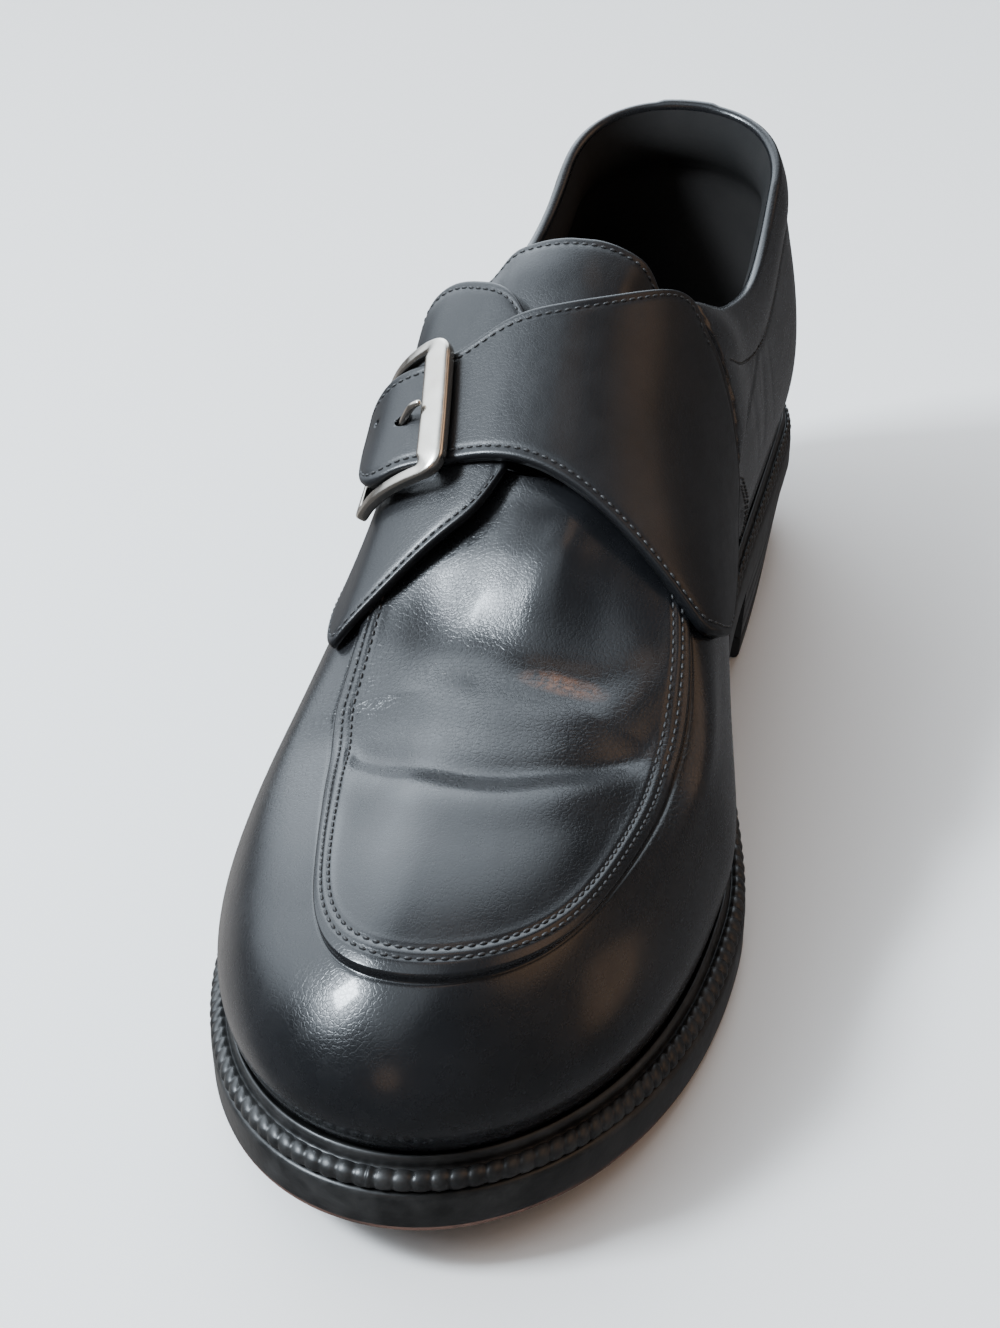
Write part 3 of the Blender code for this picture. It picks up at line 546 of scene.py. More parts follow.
# Section of the welt: line from which a row is set in, inset, rise over the sole's joint, and the share of
# the ribs outward and upward; an inset in the band is a share of its width
WELT_PROFILE = (
    ("sole", 1.20, 0.0, 0.0, 0.0),
    ("sole", 0.95, 0.10, 0.0, 0.0),
    ("sole", 0.95, 0.35, 0.7, 0.0),
    ("sole", 0.95, 0.8, 0.95, 0.0),
    ("sole", 0.95, 1.5, 0.95, 0.0),
    ("sole", 1.00, 2.1, 0.75, 0.1),
    ("sole", 1.15, 2.5, 0.45, 0.3),
    ("band", 0.45, 2.8, 0.2, 0.6),
    ("band", 0.65, 3.0, 0.0, 0.9),
    ("band", 0.82, 3.0, 0.0, 0.9),
    ("band", 0.94, 2.9, 0.0, 0.5),
    ("band", 1.00, 2.8, 0.0, 0.0),
    ("upper", -2.30, 2.8, 0.0, 0.0),
    ("upper", -2.15, 3.8, 0.0, 0.0),
    ("upper", -1.95, 4.8, 0.0, 0.0),
    ("upper", -1.60, 5.5, 0.0, 0.0),
    ("upper", -1.20, 5.7, 0.0, 0.0),
    ("upper", -0.85, 5.4, 0.0, 0.0),
    ("upper", -0.70, 4.9, 0.0, 0.0),
    ("upper", 3.00, 4.9, 0.0, 0.0),
    ("upper", 3.00, 0.0, 0.0, 0.0),
    ("sole", 1.20, 0.0, 0.0, 0.0),
)

# Rounded edges of the outsole by inset and distance from its foot or top, and its worn rows
SOLE_FOOT = ((4.0, 0.0), (1.6, 0.0), (0.75, 0.2), (0.25, 0.7), (0.0, 1.6))
SOLE_BROW = ((0.0, 1.6), (0.2, 0.7), (0.7, 0.2), (1.4, 0.0))
WORN_ROWS = 4

# Edge of the sock by inset and distance from its top
SOCK_EDGE = ((0.0, 0.8), (0.3, 0.25), (1.0, 0.0))

# Ribs of the welt, and lifts of the heel
RIB_PITCH = 3.3
RIB_HEIGHT = 0.85
RIB_COLUMNS = 8
LIFT_COUNT = 3
LIFT_GROOVE = 0.3
LIFT_EDGE = 0.35
TOP_LIFT_FOOT = ((1.0, 0.0), (0.35, 0.25), (0.0, 1.0))

# Camera, from the photograph
CAMERA_PLACE = (83.8, -373.5, 285.8)
CAMERA_TARGET = (-6.4, -28.0, 46.1)
CAMERA_ROLL = math.radians(0.55)
CAMERA_LENS = 54.6
SENSOR_WIDTH = 36.0
NEAREST = 0.01


def spline(knots, values, places, start_slope=None, end_slope=None):
    """Smooth curve through the values; an end slope that is None is left free."""
    knots = np.asarray(knots, float)
    values = np.asarray(values, float)
    places = np.clip(np.asarray(places, float), knots[0], knots[-1])
    count = len(knots)
    step = np.diff(knots)
    rise = np.diff(values, axis=0) / step.reshape((-1,) + (1,) * (values.ndim - 1))
    system = np.eye(count)
    right = np.zeros_like(values)
    for row in range(1, count - 1):
        system[row, row - 1:row + 2] = (step[row - 1], 2 * (step[row - 1] + step[row]), step[row])
        right[row] = 6 * (rise[row] - rise[row - 1])
    if start_slope is not None:
        system[0, :2] = (2 * step[0], step[0])
        right[0] = 6 * (rise[0] - start_slope)
    if end_slope is not None:
        system[-1, -2:] = (step[-1], 2 * step[-1])
        right[-1] = 6 * (end_slope - rise[-1])
    bend = np.linalg.solve(system, right)
    cell = np.clip(np.searchsorted(knots, places) - 1, 0, count - 2)
    shape = places.shape + (1,) * (values.ndim - 1)
    width = step[cell].reshape(shape)
    after = ((places - knots[cell]) / step[cell]).reshape(shape)
    before = 1 - after
    curve = (before ** 3 - before) * bend[cell] + (after ** 3 - after) * bend[cell + 1]
    return before * values[cell] + after * values[cell + 1] + curve * width ** 2 / 6


def column(table, columns, name):
    """One named column of a table."""
    return [row[columns.index(name)] for row in table]


def read(table, columns, name, stations):
    """A table's column as a smooth curve that is level at both ends."""
    knots = column(table, columns, "station")
    return spline(knots, column(table, columns, name), stations, 0.0, 0.0)


def straight(table, columns, given, wanted, places):
    """One column of a table by another, along straight lines."""
    return np.interp(places, column(table, columns, given), column(table, columns, wanted))


def ease(value, start, end):
    """Soft step from 0 at start to 1 at end."""
    share = np.clip((np.asarray(value, float) - start) / (end - start), 0, 1)
    return share * share * (3 - 2 * share)


def unit(vectors):
    """Vectors of length 1 in the same directions."""
    return vectors / np.linalg.norm(vectors, axis=-1, keepdims=True)


def lengths_along(points):
    """Lengths along lines of points, up to each point."""
    gaps = np.linalg.norm(np.diff(points, axis=0), axis=-1)
    return np.concatenate([np.zeros_like(gaps[:1]), np.cumsum(gaps, axis=0)])


def join_sides(lateral, medial):
    """Rows round the shoe: lateral front to back, then medial back to front."""
    return np.concatenate([lateral[:, ::-1], medial], axis=1)


def side_name(side):
    """Name of a side in the tables."""
    return "lateral" if side == LATERAL else "medial"


def superellipse(side_reach, end_reach, turn, roundness):
    """Distance from a pole to the outline, at an angle that is 0 straight ahead."""
    across = np.abs(np.sin(turn)) / side_reach
    along = np.abs(np.cos(turn)) / end_reach
    return (across ** roundness + along ** roundness) ** (-1 / roundness)


def frame_of(side, stations):
    """Pole and direction of each section, and the sole's reach along it."""
    stations = np.asarray(stations, float)
    name = side_name(side)
    pole = np.clip(stations, HEEL_POLE, TOE_POLE)
    heel_turn = np.clip(stations / HEEL_POLE, 0, 1) * math.pi / 2
    toe_turn = np.clip((SOLE_LENGTH - stations) / (SOLE_LENGTH - TOE_POLE), 0, 1) * math.pi / 2
    reach = read(OUTLINE, OUTLINE_COLUMNS, name, pole)
    widths = column(OUTLINE, OUTLINE_COLUMNS, name)
    heel_reach = superellipse(widths[0], HEEL_POLE, heel_turn, HEEL_ROUNDNESS)
    toe_reach = superellipse(widths[-1], SOLE_LENGTH - TOE_POLE, toe_turn, TOE_ROUNDNESS)
    in_heel = stations < HEEL_POLE
    in_toe = stations > TOE_POLE
    reach = np.where(in_heel, heel_reach, np.where(in_toe, toe_reach, reach))
    across = side * np.where(in_heel, np.sin(heel_turn), np.where(in_toe, np.sin(toe_turn), 1.0))
    along = np.where(in_heel, -np.cos(heel_turn), np.where(in_toe, np.cos(toe_turn), 0.0))
    return pole, across, along, reach


def underside(distance):
    """Height of the sole's underside by distance from the heel's back."""
    arch = HEEL_HEIGHT * (1 - ease(distance, HEEL_BREAST, TREAD_START))
    ahead = np.clip((distance - TREAD_END) / (SOLE_LENGTH - TREAD_END), 0, 1)
    return arch + TOE_SPRING * ahead ** SPRING_CURVE


def place(across, distance, height):
    """Points in the shoe's frame, in millimetres."""
    return np.stack([across + AXIS_SHIFT, SOLE_LENGTH / 2 - distance, height], axis=-1)


def sole_point(side, stations, inset, rise):
    """Points set in from the sole's edge, at a rise above the underside."""
    pole, across, along, reach = frame_of(side, stations)
    reach = reach - inset
    distance = pole + along * reach
    return place(across * reach, distance, underside(distance) + rise)


def margin_at(stations):
    """How far the sole stands out from the upper's lower edge."""
    return read(MARGIN, MARGIN_COLUMNS, "margin", stations)


def feather_reach(side, stations):
    """Reach of the upper's lower edge along each section."""
    _, _, _, reach = frame_of(side, stations)
    return reach - margin_at(stations)


def section_curve(turns, toe, values, last_rise):
    """Smooth curve through a section's values, with the toe's knots blended in by a share."""
    values = np.stack(values, axis=-1)
    curve = np.zeros_like(turns)
    for knots, share in ((TURN_KNOTS, 1 - toe), (TOE_KNOTS, toe)):
        places = np.interp(turns, TURN_KNOTS, knots)
        weights = spline(knots, np.eye(len(knots)), places, None, 0.0)
        slope_weight = spline(knots, np.zeros(len(knots)), places, None, 1.0)
        end_slope = last_rise / (knots[-1] - knots[-2])
        curve += share * ((weights * values).sum(axis=-1) + slope_weight * end_slope)
    return curve


def last_point(side, stations, turns):
    """Point of the outer form: turn 0 is the lower edge and turn 1 the top line."""
    stations, turns = np.broadcast_arrays(np.asarray(stations, float), np.asarray(turns, float))
    shape = stations.shape
    stations = stations.ravel()
    turns = turns.ravel()
    pole, across, along, _ = frame_of(side, stations)
    reach = feather_reach(side, stations)
    edge = underside(pole + along * reach) + SOLE_STACK
    closing = ease(stations, CLOSING_START, CLOSING_END)
    ridge = read(RIDGE, RIDGE_COLUMNS, "height", np.minimum(stations, TOE_POLE))
    widths = [reach]
    heights = [edge]
    name = "_" + side_name(side)
    for part in ("bulge", "wall", "shoulder"):
        widths.append(reach * read(SECTIONS, SECTION_COLUMNS, part + name, stations))
        heights.append(edge + read(SECTIONS, SECTION_COLUMNS, part + "_rise", stations))
    widths.append(reach * OPEN_WIDTH * (1 - closing))
    heights.append(ridge)
    toe = ease(stations, *TOE_BLEND)
    width = section_curve(turns, toe, widths, widths[-1] - widths[-2])
    height = section_curve(turns, toe, heights, (heights[-1] - heights[-2]) * (1 - closing))
    lean = read(RIDGE, RIDGE_COLUMNS, "lean", np.minimum(stations, TOE_POLE))
    lean = lean * ease(height, LEAN_START, LEAN_END)
    return place(across * width + lean, pole + along * width, height).reshape(shape + (3,))


def last_normal(side, stations, turns):
    """Outward direction of the outer form."""
    station_step = 0.2
    turn_step = 0.004
    stations, turns = np.broadcast_arrays(np.asarray(stations, float), np.asarray(turns, float))
    before = np.clip(stations - station_step, 0, SOLE_LENGTH)
    after = np.clip(stations + station_step, 0, SOLE_LENGTH)
    lower = np.clip(turns - turn_step, 0, 1)
    upper = np.clip(turns + turn_step, 0, 1)
    forward = last_point(side, after, turns) - last_point(side, before, turns)
    upward = last_point(side, stations, upper) - last_point(side, stations, lower)
    normal = side * np.cross(upward, forward)
    on_ridge = (turns >= 1) & (stations >= CLOSING_END)
    level = np.stack([np.zeros_like(stations), forward[..., 2], -forward[..., 1]], axis=-1)
    normal = np.where(on_ridge[..., None], level, normal)
    at_pole = (stations >= TOE_POLE) & (turns > 1 - turn_step)
    normal = np.where(at_pole[..., None], np.array([0.0, 0.0, 1.0]), normal)
    ends = (stations <= 0) | (stations >= SOLE_LENGTH)
    normal[..., 0] = np.where(ends, 0.0, normal[..., 0])
    return unit(normal)


def skin(side, stations, turns, offsets):
    """Points at an offset outside the outer form."""
    offsets = np.asarray(offsets, float)[..., None]
    return last_point(side, stations, turns) + last_normal(side, stations, turns) * offsets


def across_skin(stations, sides, offsets):
    """Points by a signed share of the section: -1 lateral lower edge, 0 ridge, 1 medial lower edge."""
    lateral = skin(LATERAL, stations, 1 - np.abs(sides), offsets)
    medial = skin(MEDIAL, stations, 1 - np.abs(sides), offsets)
    return np.where((np.asarray(sides) < 0)[..., None], lateral, medial)


def throat_share(stations):
    """Share of the throat's full width, from 1 at the collar's end to 0 at the throat's end."""
    along = np.clip((stations - COLLAR_END) / (THROAT_END - COLLAR_END), 0, 1)
    return np.sqrt(1 - along ** 2)


def topline_turn(side, stations):
    """Turn at which each section ends: the collar's edge, the throat's edge, or the closed ridge."""
    stations = np.asarray(stations, float)
    wanted = read(TOPLINE, TOPLINE_COLUMNS, "height", stations)
    trial = np.linspace(0, 1, TRIAL_TURNS)
    turns = np.ones_like(stations)
    for index, station in enumerate(stations):
        if station <= COLLAR_END:
            heights = last_point(side, np.full_like(trial, station), trial)[:, 2]
            turns[index] = np.interp(wanted[index], np.maximum.accumulate(heights), trial)
    collar_end = turns[np.argmin(np.abs(stations - COLLAR_END))]
    throat = 1 - (1 - collar_end) * throat_share(stations)
    return np.where(stations <= COLLAR_END, turns, throat)


def bump(value, half_width):
    """Soft hump that is 1 at 0."""
    return np.exp(-(value / half_width) ** 2)


def steps(start, end, count):
    """Places after a start, up to an end."""
    return np.linspace(start, end, count + 1)[1:]


def section_lengths(side, stations):
    """Trial turns, and the lengths along each section up to them."""
    turns = np.linspace(0, 1, SECTION_TRIALS)
    return turns, lengths_along(last_point(side, stations[None, :], turns[:, None]))


def read_columns(places, known_places, known_values):
    """Values at places in each column; what is known may be flat where it is the same for all columns."""
    result = np.empty_like(places)
    for index in range(places.shape[1]):
        across = known_places if known_places.ndim == 1 else known_places[:, index]
        values = known_values if known_values.ndim == 1 else known_values[:, index]
        result[:, index] = np.interp(places[:, index], across, values)
    return result


def apron_edge(side, stations, turns, lengths):
    """Length along each section up to the apron's edge."""
    shoulder = read_columns(np.full((1, len(stations)), SHOULDER), turns, lengths)[0]
    along = np.maximum(stations, APRON_START)
    return shoulder + read(APRON_LINE, APRON_LINE_COLUMNS, side_name(side), along)


def inside_apron(side, stations, turns):
    """Distance inward of the apron's edge, for rows of turns over a line of stations."""
    trial, lengths = section_lengths(side, stations)
    return read_columns(turns, trial, lengths) - apron_edge(side, stations, trial, lengths)


def apron_turns(side, stations, inward):
    """Turns at a distance inward of the apron's edge."""
    trial, lengths = section_lengths(side, stations)
    wanted = apron_edge(side, stations, trial, lengths) + inward
    return read_columns(wanted[None, :], lengths, trial)[0]


def rim_distance(side, stations, turns, rim):
    """Distance below the collar's edge."""
    trial, lengths = section_lengths(side, stations)
    return read_columns(rim[None, :], trial, lengths) - read_columns(turns, trial, lengths)


def upper_turns(side, stations, rim):
    """Turns of the upper's rows, close together along the apron's edge."""
    trial, lengths = section_lengths(side, stations)
    total = read_columns(rim[None, :], trial, lengths)[0]
    edge = apron_edge(side, stations, trial, lengths)
    low = np.linspace(0, 1, LOW_ROWS)[:, None] * (edge - SEAM_BELOW)
    seam = edge - SEAM_BELOW + steps(0, SEAM_BELOW + SEAM_ABOVE, SEAM_ROWS_COUNT)[:, None]
    above = edge + SEAM_ABOVE
    top = above + steps(0, 1, TOP_ROWS)[:, None] * (total - above)
    close = np.concatenate([low, seam, top])
    even = np.linspace(0, 1, len(close))[:, None] * total
    share = ease(stations, *SEAM_BLEND)
    return read_columns(even * (1 - share) + close * share, lengths, trial)


def row_shift(stations):
    """Wider edge outside the stitches at the toe."""
    return TOE_ROW_SHIFT * ease(stations, *TOE_ROW_STATIONS)


def apron_relief(stations, inward):
    """Apron laid over the vamp, with a rolled edge and two rows of stitch holes."""
    share = ease(stations, APRON_START, APRON_START + APRON_FADE)
    toe = ease(stations, *TOE_STEP_STATIONS)
    over = ease(inward, -EDGE_WIDTH, EDGE_WIDTH)
    roll = SEAM_ROLL * bump(inward - SEAM_ROLL_PLACE, SEAM_ROLL_WIDTH) * over
    shift = row_shift(stations)
    rows = sum(bump(inward - row - shift, GROOVE_WIDTH) for row in SEAM_ROWS)
    foot = SEAM_FOOT * bump(inward + EDGE_WIDTH, EDGE_WIDTH)
    flare = TOE_FLARE * np.exp(-np.clip(inward, 0, None) / TOE_FLARE_REACH)
    top = APRON_STEP + toe * (TOE_STEP - APRON_STEP + flare)
    return share * (top * over + roll - STITCH_GROOVE * rows - foot)


def crease_relief(points, inward):
    """Troughs, ridges and swells that walking has left on the vamp."""
    across = points[..., 0]
    stations = SOLE_LENGTH / 2 - points[..., 1]
    relief = np.zeros_like(across)
    for station, middle, lateral_bow, medial_bow, half_width, height, reach in CREASES:
        bow = np.where(across < middle, lateral_bow, medial_bow)
        line = station - bow * ((across - middle) / CREASE_SPAN) ** 2
        end = 1 - ease(np.abs(across - middle), CREASE_FULL * reach, reach)
        relief += height * bump(stations - line, half_width) * end
    for station, place_across, half_length, half_width, height, drift in SWELLS:
        along = stations - station
        aside = across - place_across - drift * along
        relief += height * bump(along, half_length) * bump(aside, half_width)
    return relief * ease(inward, *CREASE_EDGE)


def quarter_relief(side, stations, turns, points, from_rim):
    """Steps, seams and fine creases of the quarters, and the padded collar."""
    height = points[..., 2]
    wing = straight(WING, WING_COLUMNS, "turn", "station", turns)
    behind = 1 - ease(stations - wing, -STEP_WIDTH, STEP_WIDTH)
    low = 1 - ease(turns, *WING_TOP)
    relief = PANEL_STEP * behind * low
    relief = relief + PANEL_STEP * (1 - ease(stations, *QUARTER_TOP_END)) * (1 - low)
    seam = straight(QUARTER_SEAM, QUARTER_SEAM_COLUMNS, "station", "height", stations)
    along = ease(stations, *SEAM_START) * (1 - ease(stations, *SEAM_END))
    relief = relief - SEAM_GROOVE * bump(height - seam, SEAM_GROOVE_WIDTH) * along
    if side == MEDIAL:
        relief = relief + strap_root(stations, turns, height - seam)
    low_fade = ease(height, WRINKLE_HEIGHTS[0], WRINKLE_HEIGHTS[1])
    high_fade = 1 - ease(height, WRINKLE_HEIGHTS[2], WRINKLE_HEIGHTS[3])
    for station, slant, half_width, depth in WRINKLES:
        line = station + slant * (height - WRINKLE_HEIGHTS[2])
        relief = relief + depth * bump(stations - line, half_width) * low_fade * high_fade
    collar = 1 - ease(stations, COLLAR_END - COLLAR_FADE, COLLAR_END)
    roll = np.sin(np.clip(1 - from_rim / COLLAR_BAND_WIDTH, 0, 1) * math.pi)
    groove = COLLAR_GROOVE * bump(from_rim - COLLAR_BAND_WIDTH, COLLAR_GROOVE_WIDTH)
    relief = relief + collar * (COLLAR_OUT * roll - groove)
    from_stay = np.abs(points[..., 0] - AXIS_SHIFT) - BACK_STAY_HALF
    stay = 1 - ease(from_stay, -BACK_STAY_EDGE, BACK_STAY_EDGE)
    return relief + BACK_STAY_STEP * stay * (stations < HEEL_POLE)


def strap_root(stations, turns, above_seam):
    """Rise of the medial quarter to the strap that grows out of it."""
    sides = np.clip(1 - turns, STRAP[0][0], STRAP[-1][0])
    rear, _, lift = panel_edges(STRAP, sides)
    rise = np.minimum(lift, PANEL_STEP) + STRAP_THICKNESS - PANEL_STEP
    inside = 1 - ease(stations - rear, *STRAP_ROOT_EDGE)
    return rise * ease(stations, *QUARTER_RAMP) * ease(above_seam, *STRAP_ROOT_RISE) * inside


def upper_relief(side, stations, turns, rim):
    """Height of the leather's layers over the outer form, for rows of turns over a line of stations."""
    points = last_point(side, stations[None, :], turns)
    inward = inside_apron(side, stations, turns)
    from_rim = rim_distance(side, stations, turns, rim)
    quarter = quarter_relief(side, np.broadcast_to(stations, turns.shape), turns, points, from_rim)
    return apron_relief(stations, inward) + quarter


def upper_layers(side, stations, turns, rim):
    """Points of the leather's layers, along the form's normals."""
    spread = np.broadcast_to(stations, turns.shape)
    return skin(side, spread, turns, upper_relief(side, stations, turns, rim))


def crease_rise(side, stations, turns):
    """Rise of the creases, straight up."""
    return crease_relief(last_point(side, stations[None, :], turns), inside_apron(side, stations, turns))


def upper_line(side, stations, turns):
    """Points and normals of a line on the finished leather."""
    points = upper_layers(side, stations, turns[None, :], topline_turn(side, stations))[0]
    points[:, 2] += crease_rise(side, stations, turns[None, :])[0]
    return points, last_normal(side, stations, turns)


def make_mesh(name, points, faces, materials, face_materials=None):
    """Smooth mesh piece from millimetre points."""
    mesh = bpy.data.meshes.new(name)
    mesh.from_pydata([tuple(point) for point in np.reshape(points, (-1, 3)) * MM], [], faces)
    for material in materials:
        mesh.materials.append(material)
    if face_materials is not None:
        mesh.polygons.foreach_set("material_index", face_materials)
    mesh.shade_smooth()
    mesh.update()
    piece = bpy.data.objects.new(name, mesh)
    bpy.context.collection.objects.link(piece)
    return piece


def grid_faces(rows, columns, ring=False, start=0):
    """Quads of a grid whose points run row by row."""
    faces = []
    for row in range(rows - 1):
        for spot in range(columns if ring else columns - 1):
            after = (spot + 1) % columns
            here = start + row * columns
            there = here + columns
            faces.append((here + spot, here + after, there + after, there + spot))
    return faces


def weld_and_turn(piece):
    """Join points that coincide and turn the faces outward."""
    work = bmesh.new()
    work.from_mesh(piece.data)
    bmesh.ops.remove_doubles(work, verts=work.verts, dist=WELD_DISTANCE)
    bmesh.ops.recalc_face_normals(work, faces=work.faces)
    work.to_mesh(piece.data)
    work.free()
    piece.data.shade_smooth()


def show(piece, node):
    """Let a piece ride on the shoe and stand for a node."""
    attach(piece, "root")
    if node:
        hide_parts(node)
    return piece


def make_piece(name, points, faces, materials, node, face_materials=None):
    """Joined piece that rides on the shoe."""
    piece = make_mesh(name, points, faces, materials, face_materials)
    weld_and_turn(piece)
    return show(piece, node)


def tube_faces(rows, columns, start=0):
    """Faces of a closed tube whose rings of points run row by row."""
    last = start + (rows - 1) * columns
    faces = grid_faces(rows, columns, ring=True, start=start)
    faces.append(tuple(range(start, start + columns))[::-1])
    faces.append(tuple(range(last, last + columns)))
    return faces


def rings_round(centres, axes, radii, count):
    """Rings of points round centres, square to their axes."""
    sideways = unit(np.cross(axes, np.array([0.0, 0.0, 1.0])))
    upward = np.cross(sideways, axes)
    angles = steps(0.0, 2 * math.pi, count)[None, :, None]
    rings = np.cos(angles) * sideways[:, None] + np.sin(angles) * upward[:, None]
    return centres[:, None] + rings * radii[:, None, None]


def fine_stations():
    """Close stations of the upper, with the ends of collar and throat among them."""
    throat_turn = steps(0.0, math.pi / 2, UPPER_STEPS["throat"])
    return np.concatenate([
        [0.0],
        steps(0.0, HEEL_POLE, UPPER_STEPS["heel"]),
        steps(HEEL_POLE, COLLAR_END, UPPER_STEPS["collar"]),
        COLLAR_END + (THROAT_END - COLLAR_END) * np.sin(throat_turn),
        steps(THROAT_END, TOE_POLE, UPPER_STEPS["instep"]),
        steps(TOE_POLE, SOLE_LENGTH, UPPER_STEPS["toe"]),
    ])


def both_sides(stations, make):
    """Grid round the shoe from a function of side and stations."""
    return join_sides(make(LATERAL, stations), make(MEDIAL, stations))


def make_upper(leather):
    """Outer leather of the upper, with its rolled edge at collar and throat."""
    stations = fine_stations()
    fade = ease(stations, THROAT_END, THROAT_END + RIDGE_FADE)
    fade = fade * (1 - ease(stations, TOE_POLE - RIDGE_FADE, TOE_POLE))
    halves = []
    rises = []
    for side in (LATERAL, MEDIAL):
        rim = topline_turn(side, stations)
        turns = upper_turns(side, stations, rim)
        halves.append(upper_layers(side, stations, turns, rim))
        rises.append(crease_rise(side, stations, turns))
    soften_ridge(*halves, fade)
    grid = join_sides(*halves)
    soften_patch(grid)
    grid[..., 2] += join_sides(*rises)
    grid[0, :, 2] += GAP
    rows, columns = grid.shape[:2]
    faces = grid_faces(rows, columns, ring=True)
    rim_grid = both_sides(stations[stations <= THROAT_END], rim_points)
    faces += grid_faces(rim_grid.shape[0], rim_grid.shape[1], start=rows * columns)
    points = np.concatenate([grid.reshape(-1, 3), rim_grid.reshape(-1, 3)])
    return make_piece("upper_leather", points, faces, [leather], "upper")


def soften_patch(grid):
    """Smooth patch over the middle of the vamp, where the sections of the toe meet."""
    across = grid[..., 0] - AXIS_SHIFT
    along = grid[..., 1] - (SOLE_LENGTH / 2 - TOE_POLE)
    reach = np.hypot(across, along)
    near = (reach < PATCH_REACH) & (grid[..., 2] > SOLE_STACK + HEEL_HEIGHT)
    orders = range(PATCH_ORDER + 1)
    powers = [(first, second) for first in orders for second in orders if first + second <= PATCH_ORDER]
    terms = np.stack([across ** first * along ** second for first, second in powers], axis=-1)
    weight = reach[near]
    factors = np.linalg.lstsq(terms[near] * weight[:, None], grid[near][:, 2] * weight, rcond=None)[0]
    share = (1 - ease(reach, *PATCH_BLEND)) * near
    grid[..., 2] += share * (terms @ factors - grid[..., 2])


def soften_ridge(lateral, medial, share):
    """Round the line where the two sides meet along the top."""
    strip = np.concatenate([lateral[-RIDGE_ROWS:], medial[-2:-RIDGE_ROWS - 1:-1]])
    soft = strip.copy()
    for _ in range(RIDGE_PASSES):
        soft[1:-1] = (soft[:-2] + 2 * soft[1:-1] + soft[2:]) / 4
    moved = (soft - strip) * share[None, :, None]
    lateral[-RIDGE_ROWS:] += moved[:RIDGE_ROWS]
    medial[-RIDGE_ROWS:] += moved[RIDGE_ROWS - 1:][::-1]


def rim_points(side, places):
    """Rounded edge over the top of the wall."""
    rim = topline_turn(side, places)
    relief = upper_relief(side, places, rim[None, :], rim)[0]
    top = skin(side, places, rim, relief)
    normal = last_normal(side, places, rim)
    turn_step = 0.01
    upward = unit(last_point(side, places, rim) - last_point(side, places, rim - turn_step))
    half = (WALL + relief)[:, None] / 2
    rows = []
    for angle in np.linspace(0, math.pi, RIM_STEPS + 1):
        rows.append(top - normal * half * (1 - math.cos(angle)) + upward * half * math.sin(angle))
    return np.stack(rows)


def make_lining(material):
    """Inner face of the upper."""
    stations = fine_stations()
    shares = np.linspace(0, 1, LINING_ROWS)

    def inside(side, places):
        rim = topline_turn(side, places)
        turns = shares[:, None] * rim[None, :]
        spread = np.broadcast_to(places, turns.shape)
        band = np.clip((shares - (1 - COLLAR_BAND)) / COLLAR_BAND, 0, 1)[:, None]
        roll = np.sin(band * math.pi) * (1 - ease(spread, COLLAR_END - COLLAR_FADE, COLLAR_END))
        sink = LINING_SINK * ease(spread, THROAT_END, THROAT_END + RIDGE_FADE) * turns
        return skin(side, spread, turns, -WALL - COLLAR_IN * roll - sink)

    grid = both_sides(stations, inside)
    grid[0, :, 2] += GAP
    faces = [face[::-1] for face in grid_faces(grid.shape[0], grid.shape[1], ring=True)]
    return make_piece("upper_lining", grid, faces, [material], None)


def panel_edges(table, sides):
    """Rear and front edges and the lift of a panel."""
    knots = column(table, PANEL_COLUMNS, "side")
    return [spline(knots, column(table, PANEL_COLUMNS, name), sides) for name in ("rear", "front", "lift")]


def tongue_rise(stations, sides):
    """Rise of the tongue into the open throat, near its free end."""
    opening = THROAT_HALF * throat_share(stations)
    inside = ease(opening - np.abs(sides), *TONGUE_CLEAR)
    along = 1 - ease(stations, TONGUE_RISE_END, TONGUE_RISE_START)
    return TONGUE_RISE * inside * along


def panel_lift(table, lift, stations, sides):
    """How far a panel stands off the form; the tongue also rises into the throat."""
    return lift + tongue_rise(stations, sides) if table is TONGUE else lift


def panel_top(table, thickness, stations, sides):
    """Upper face of a panel, with rounded edges and a groove for the stitches."""
    rear, front, lift = panel_edges(table, sides)
    ends = column(table, PANEL_COLUMNS, "side")
    to_edge = np.minimum(stations - rear, front - stations)
    to_end = np.minimum(sides - ends[0], ends[-1] - sides) * SIDE_SCALE
    inward = np.clip(np.minimum(to_edge, to_end), 0, None)
    short = PANEL_EDGE - np.minimum(inward, PANEL_EDGE)
    drop = PANEL_EDGE - np.sqrt(PANEL_EDGE ** 2 - short ** 2)
    groove = STITCH_GROOVE * bump(inward - EDGE_INSET, GROOVE_WIDTH)
    lift = panel_lift(table, lift, stations, sides)
    return across_skin(stations, sides, lift + thickness - drop - groove)


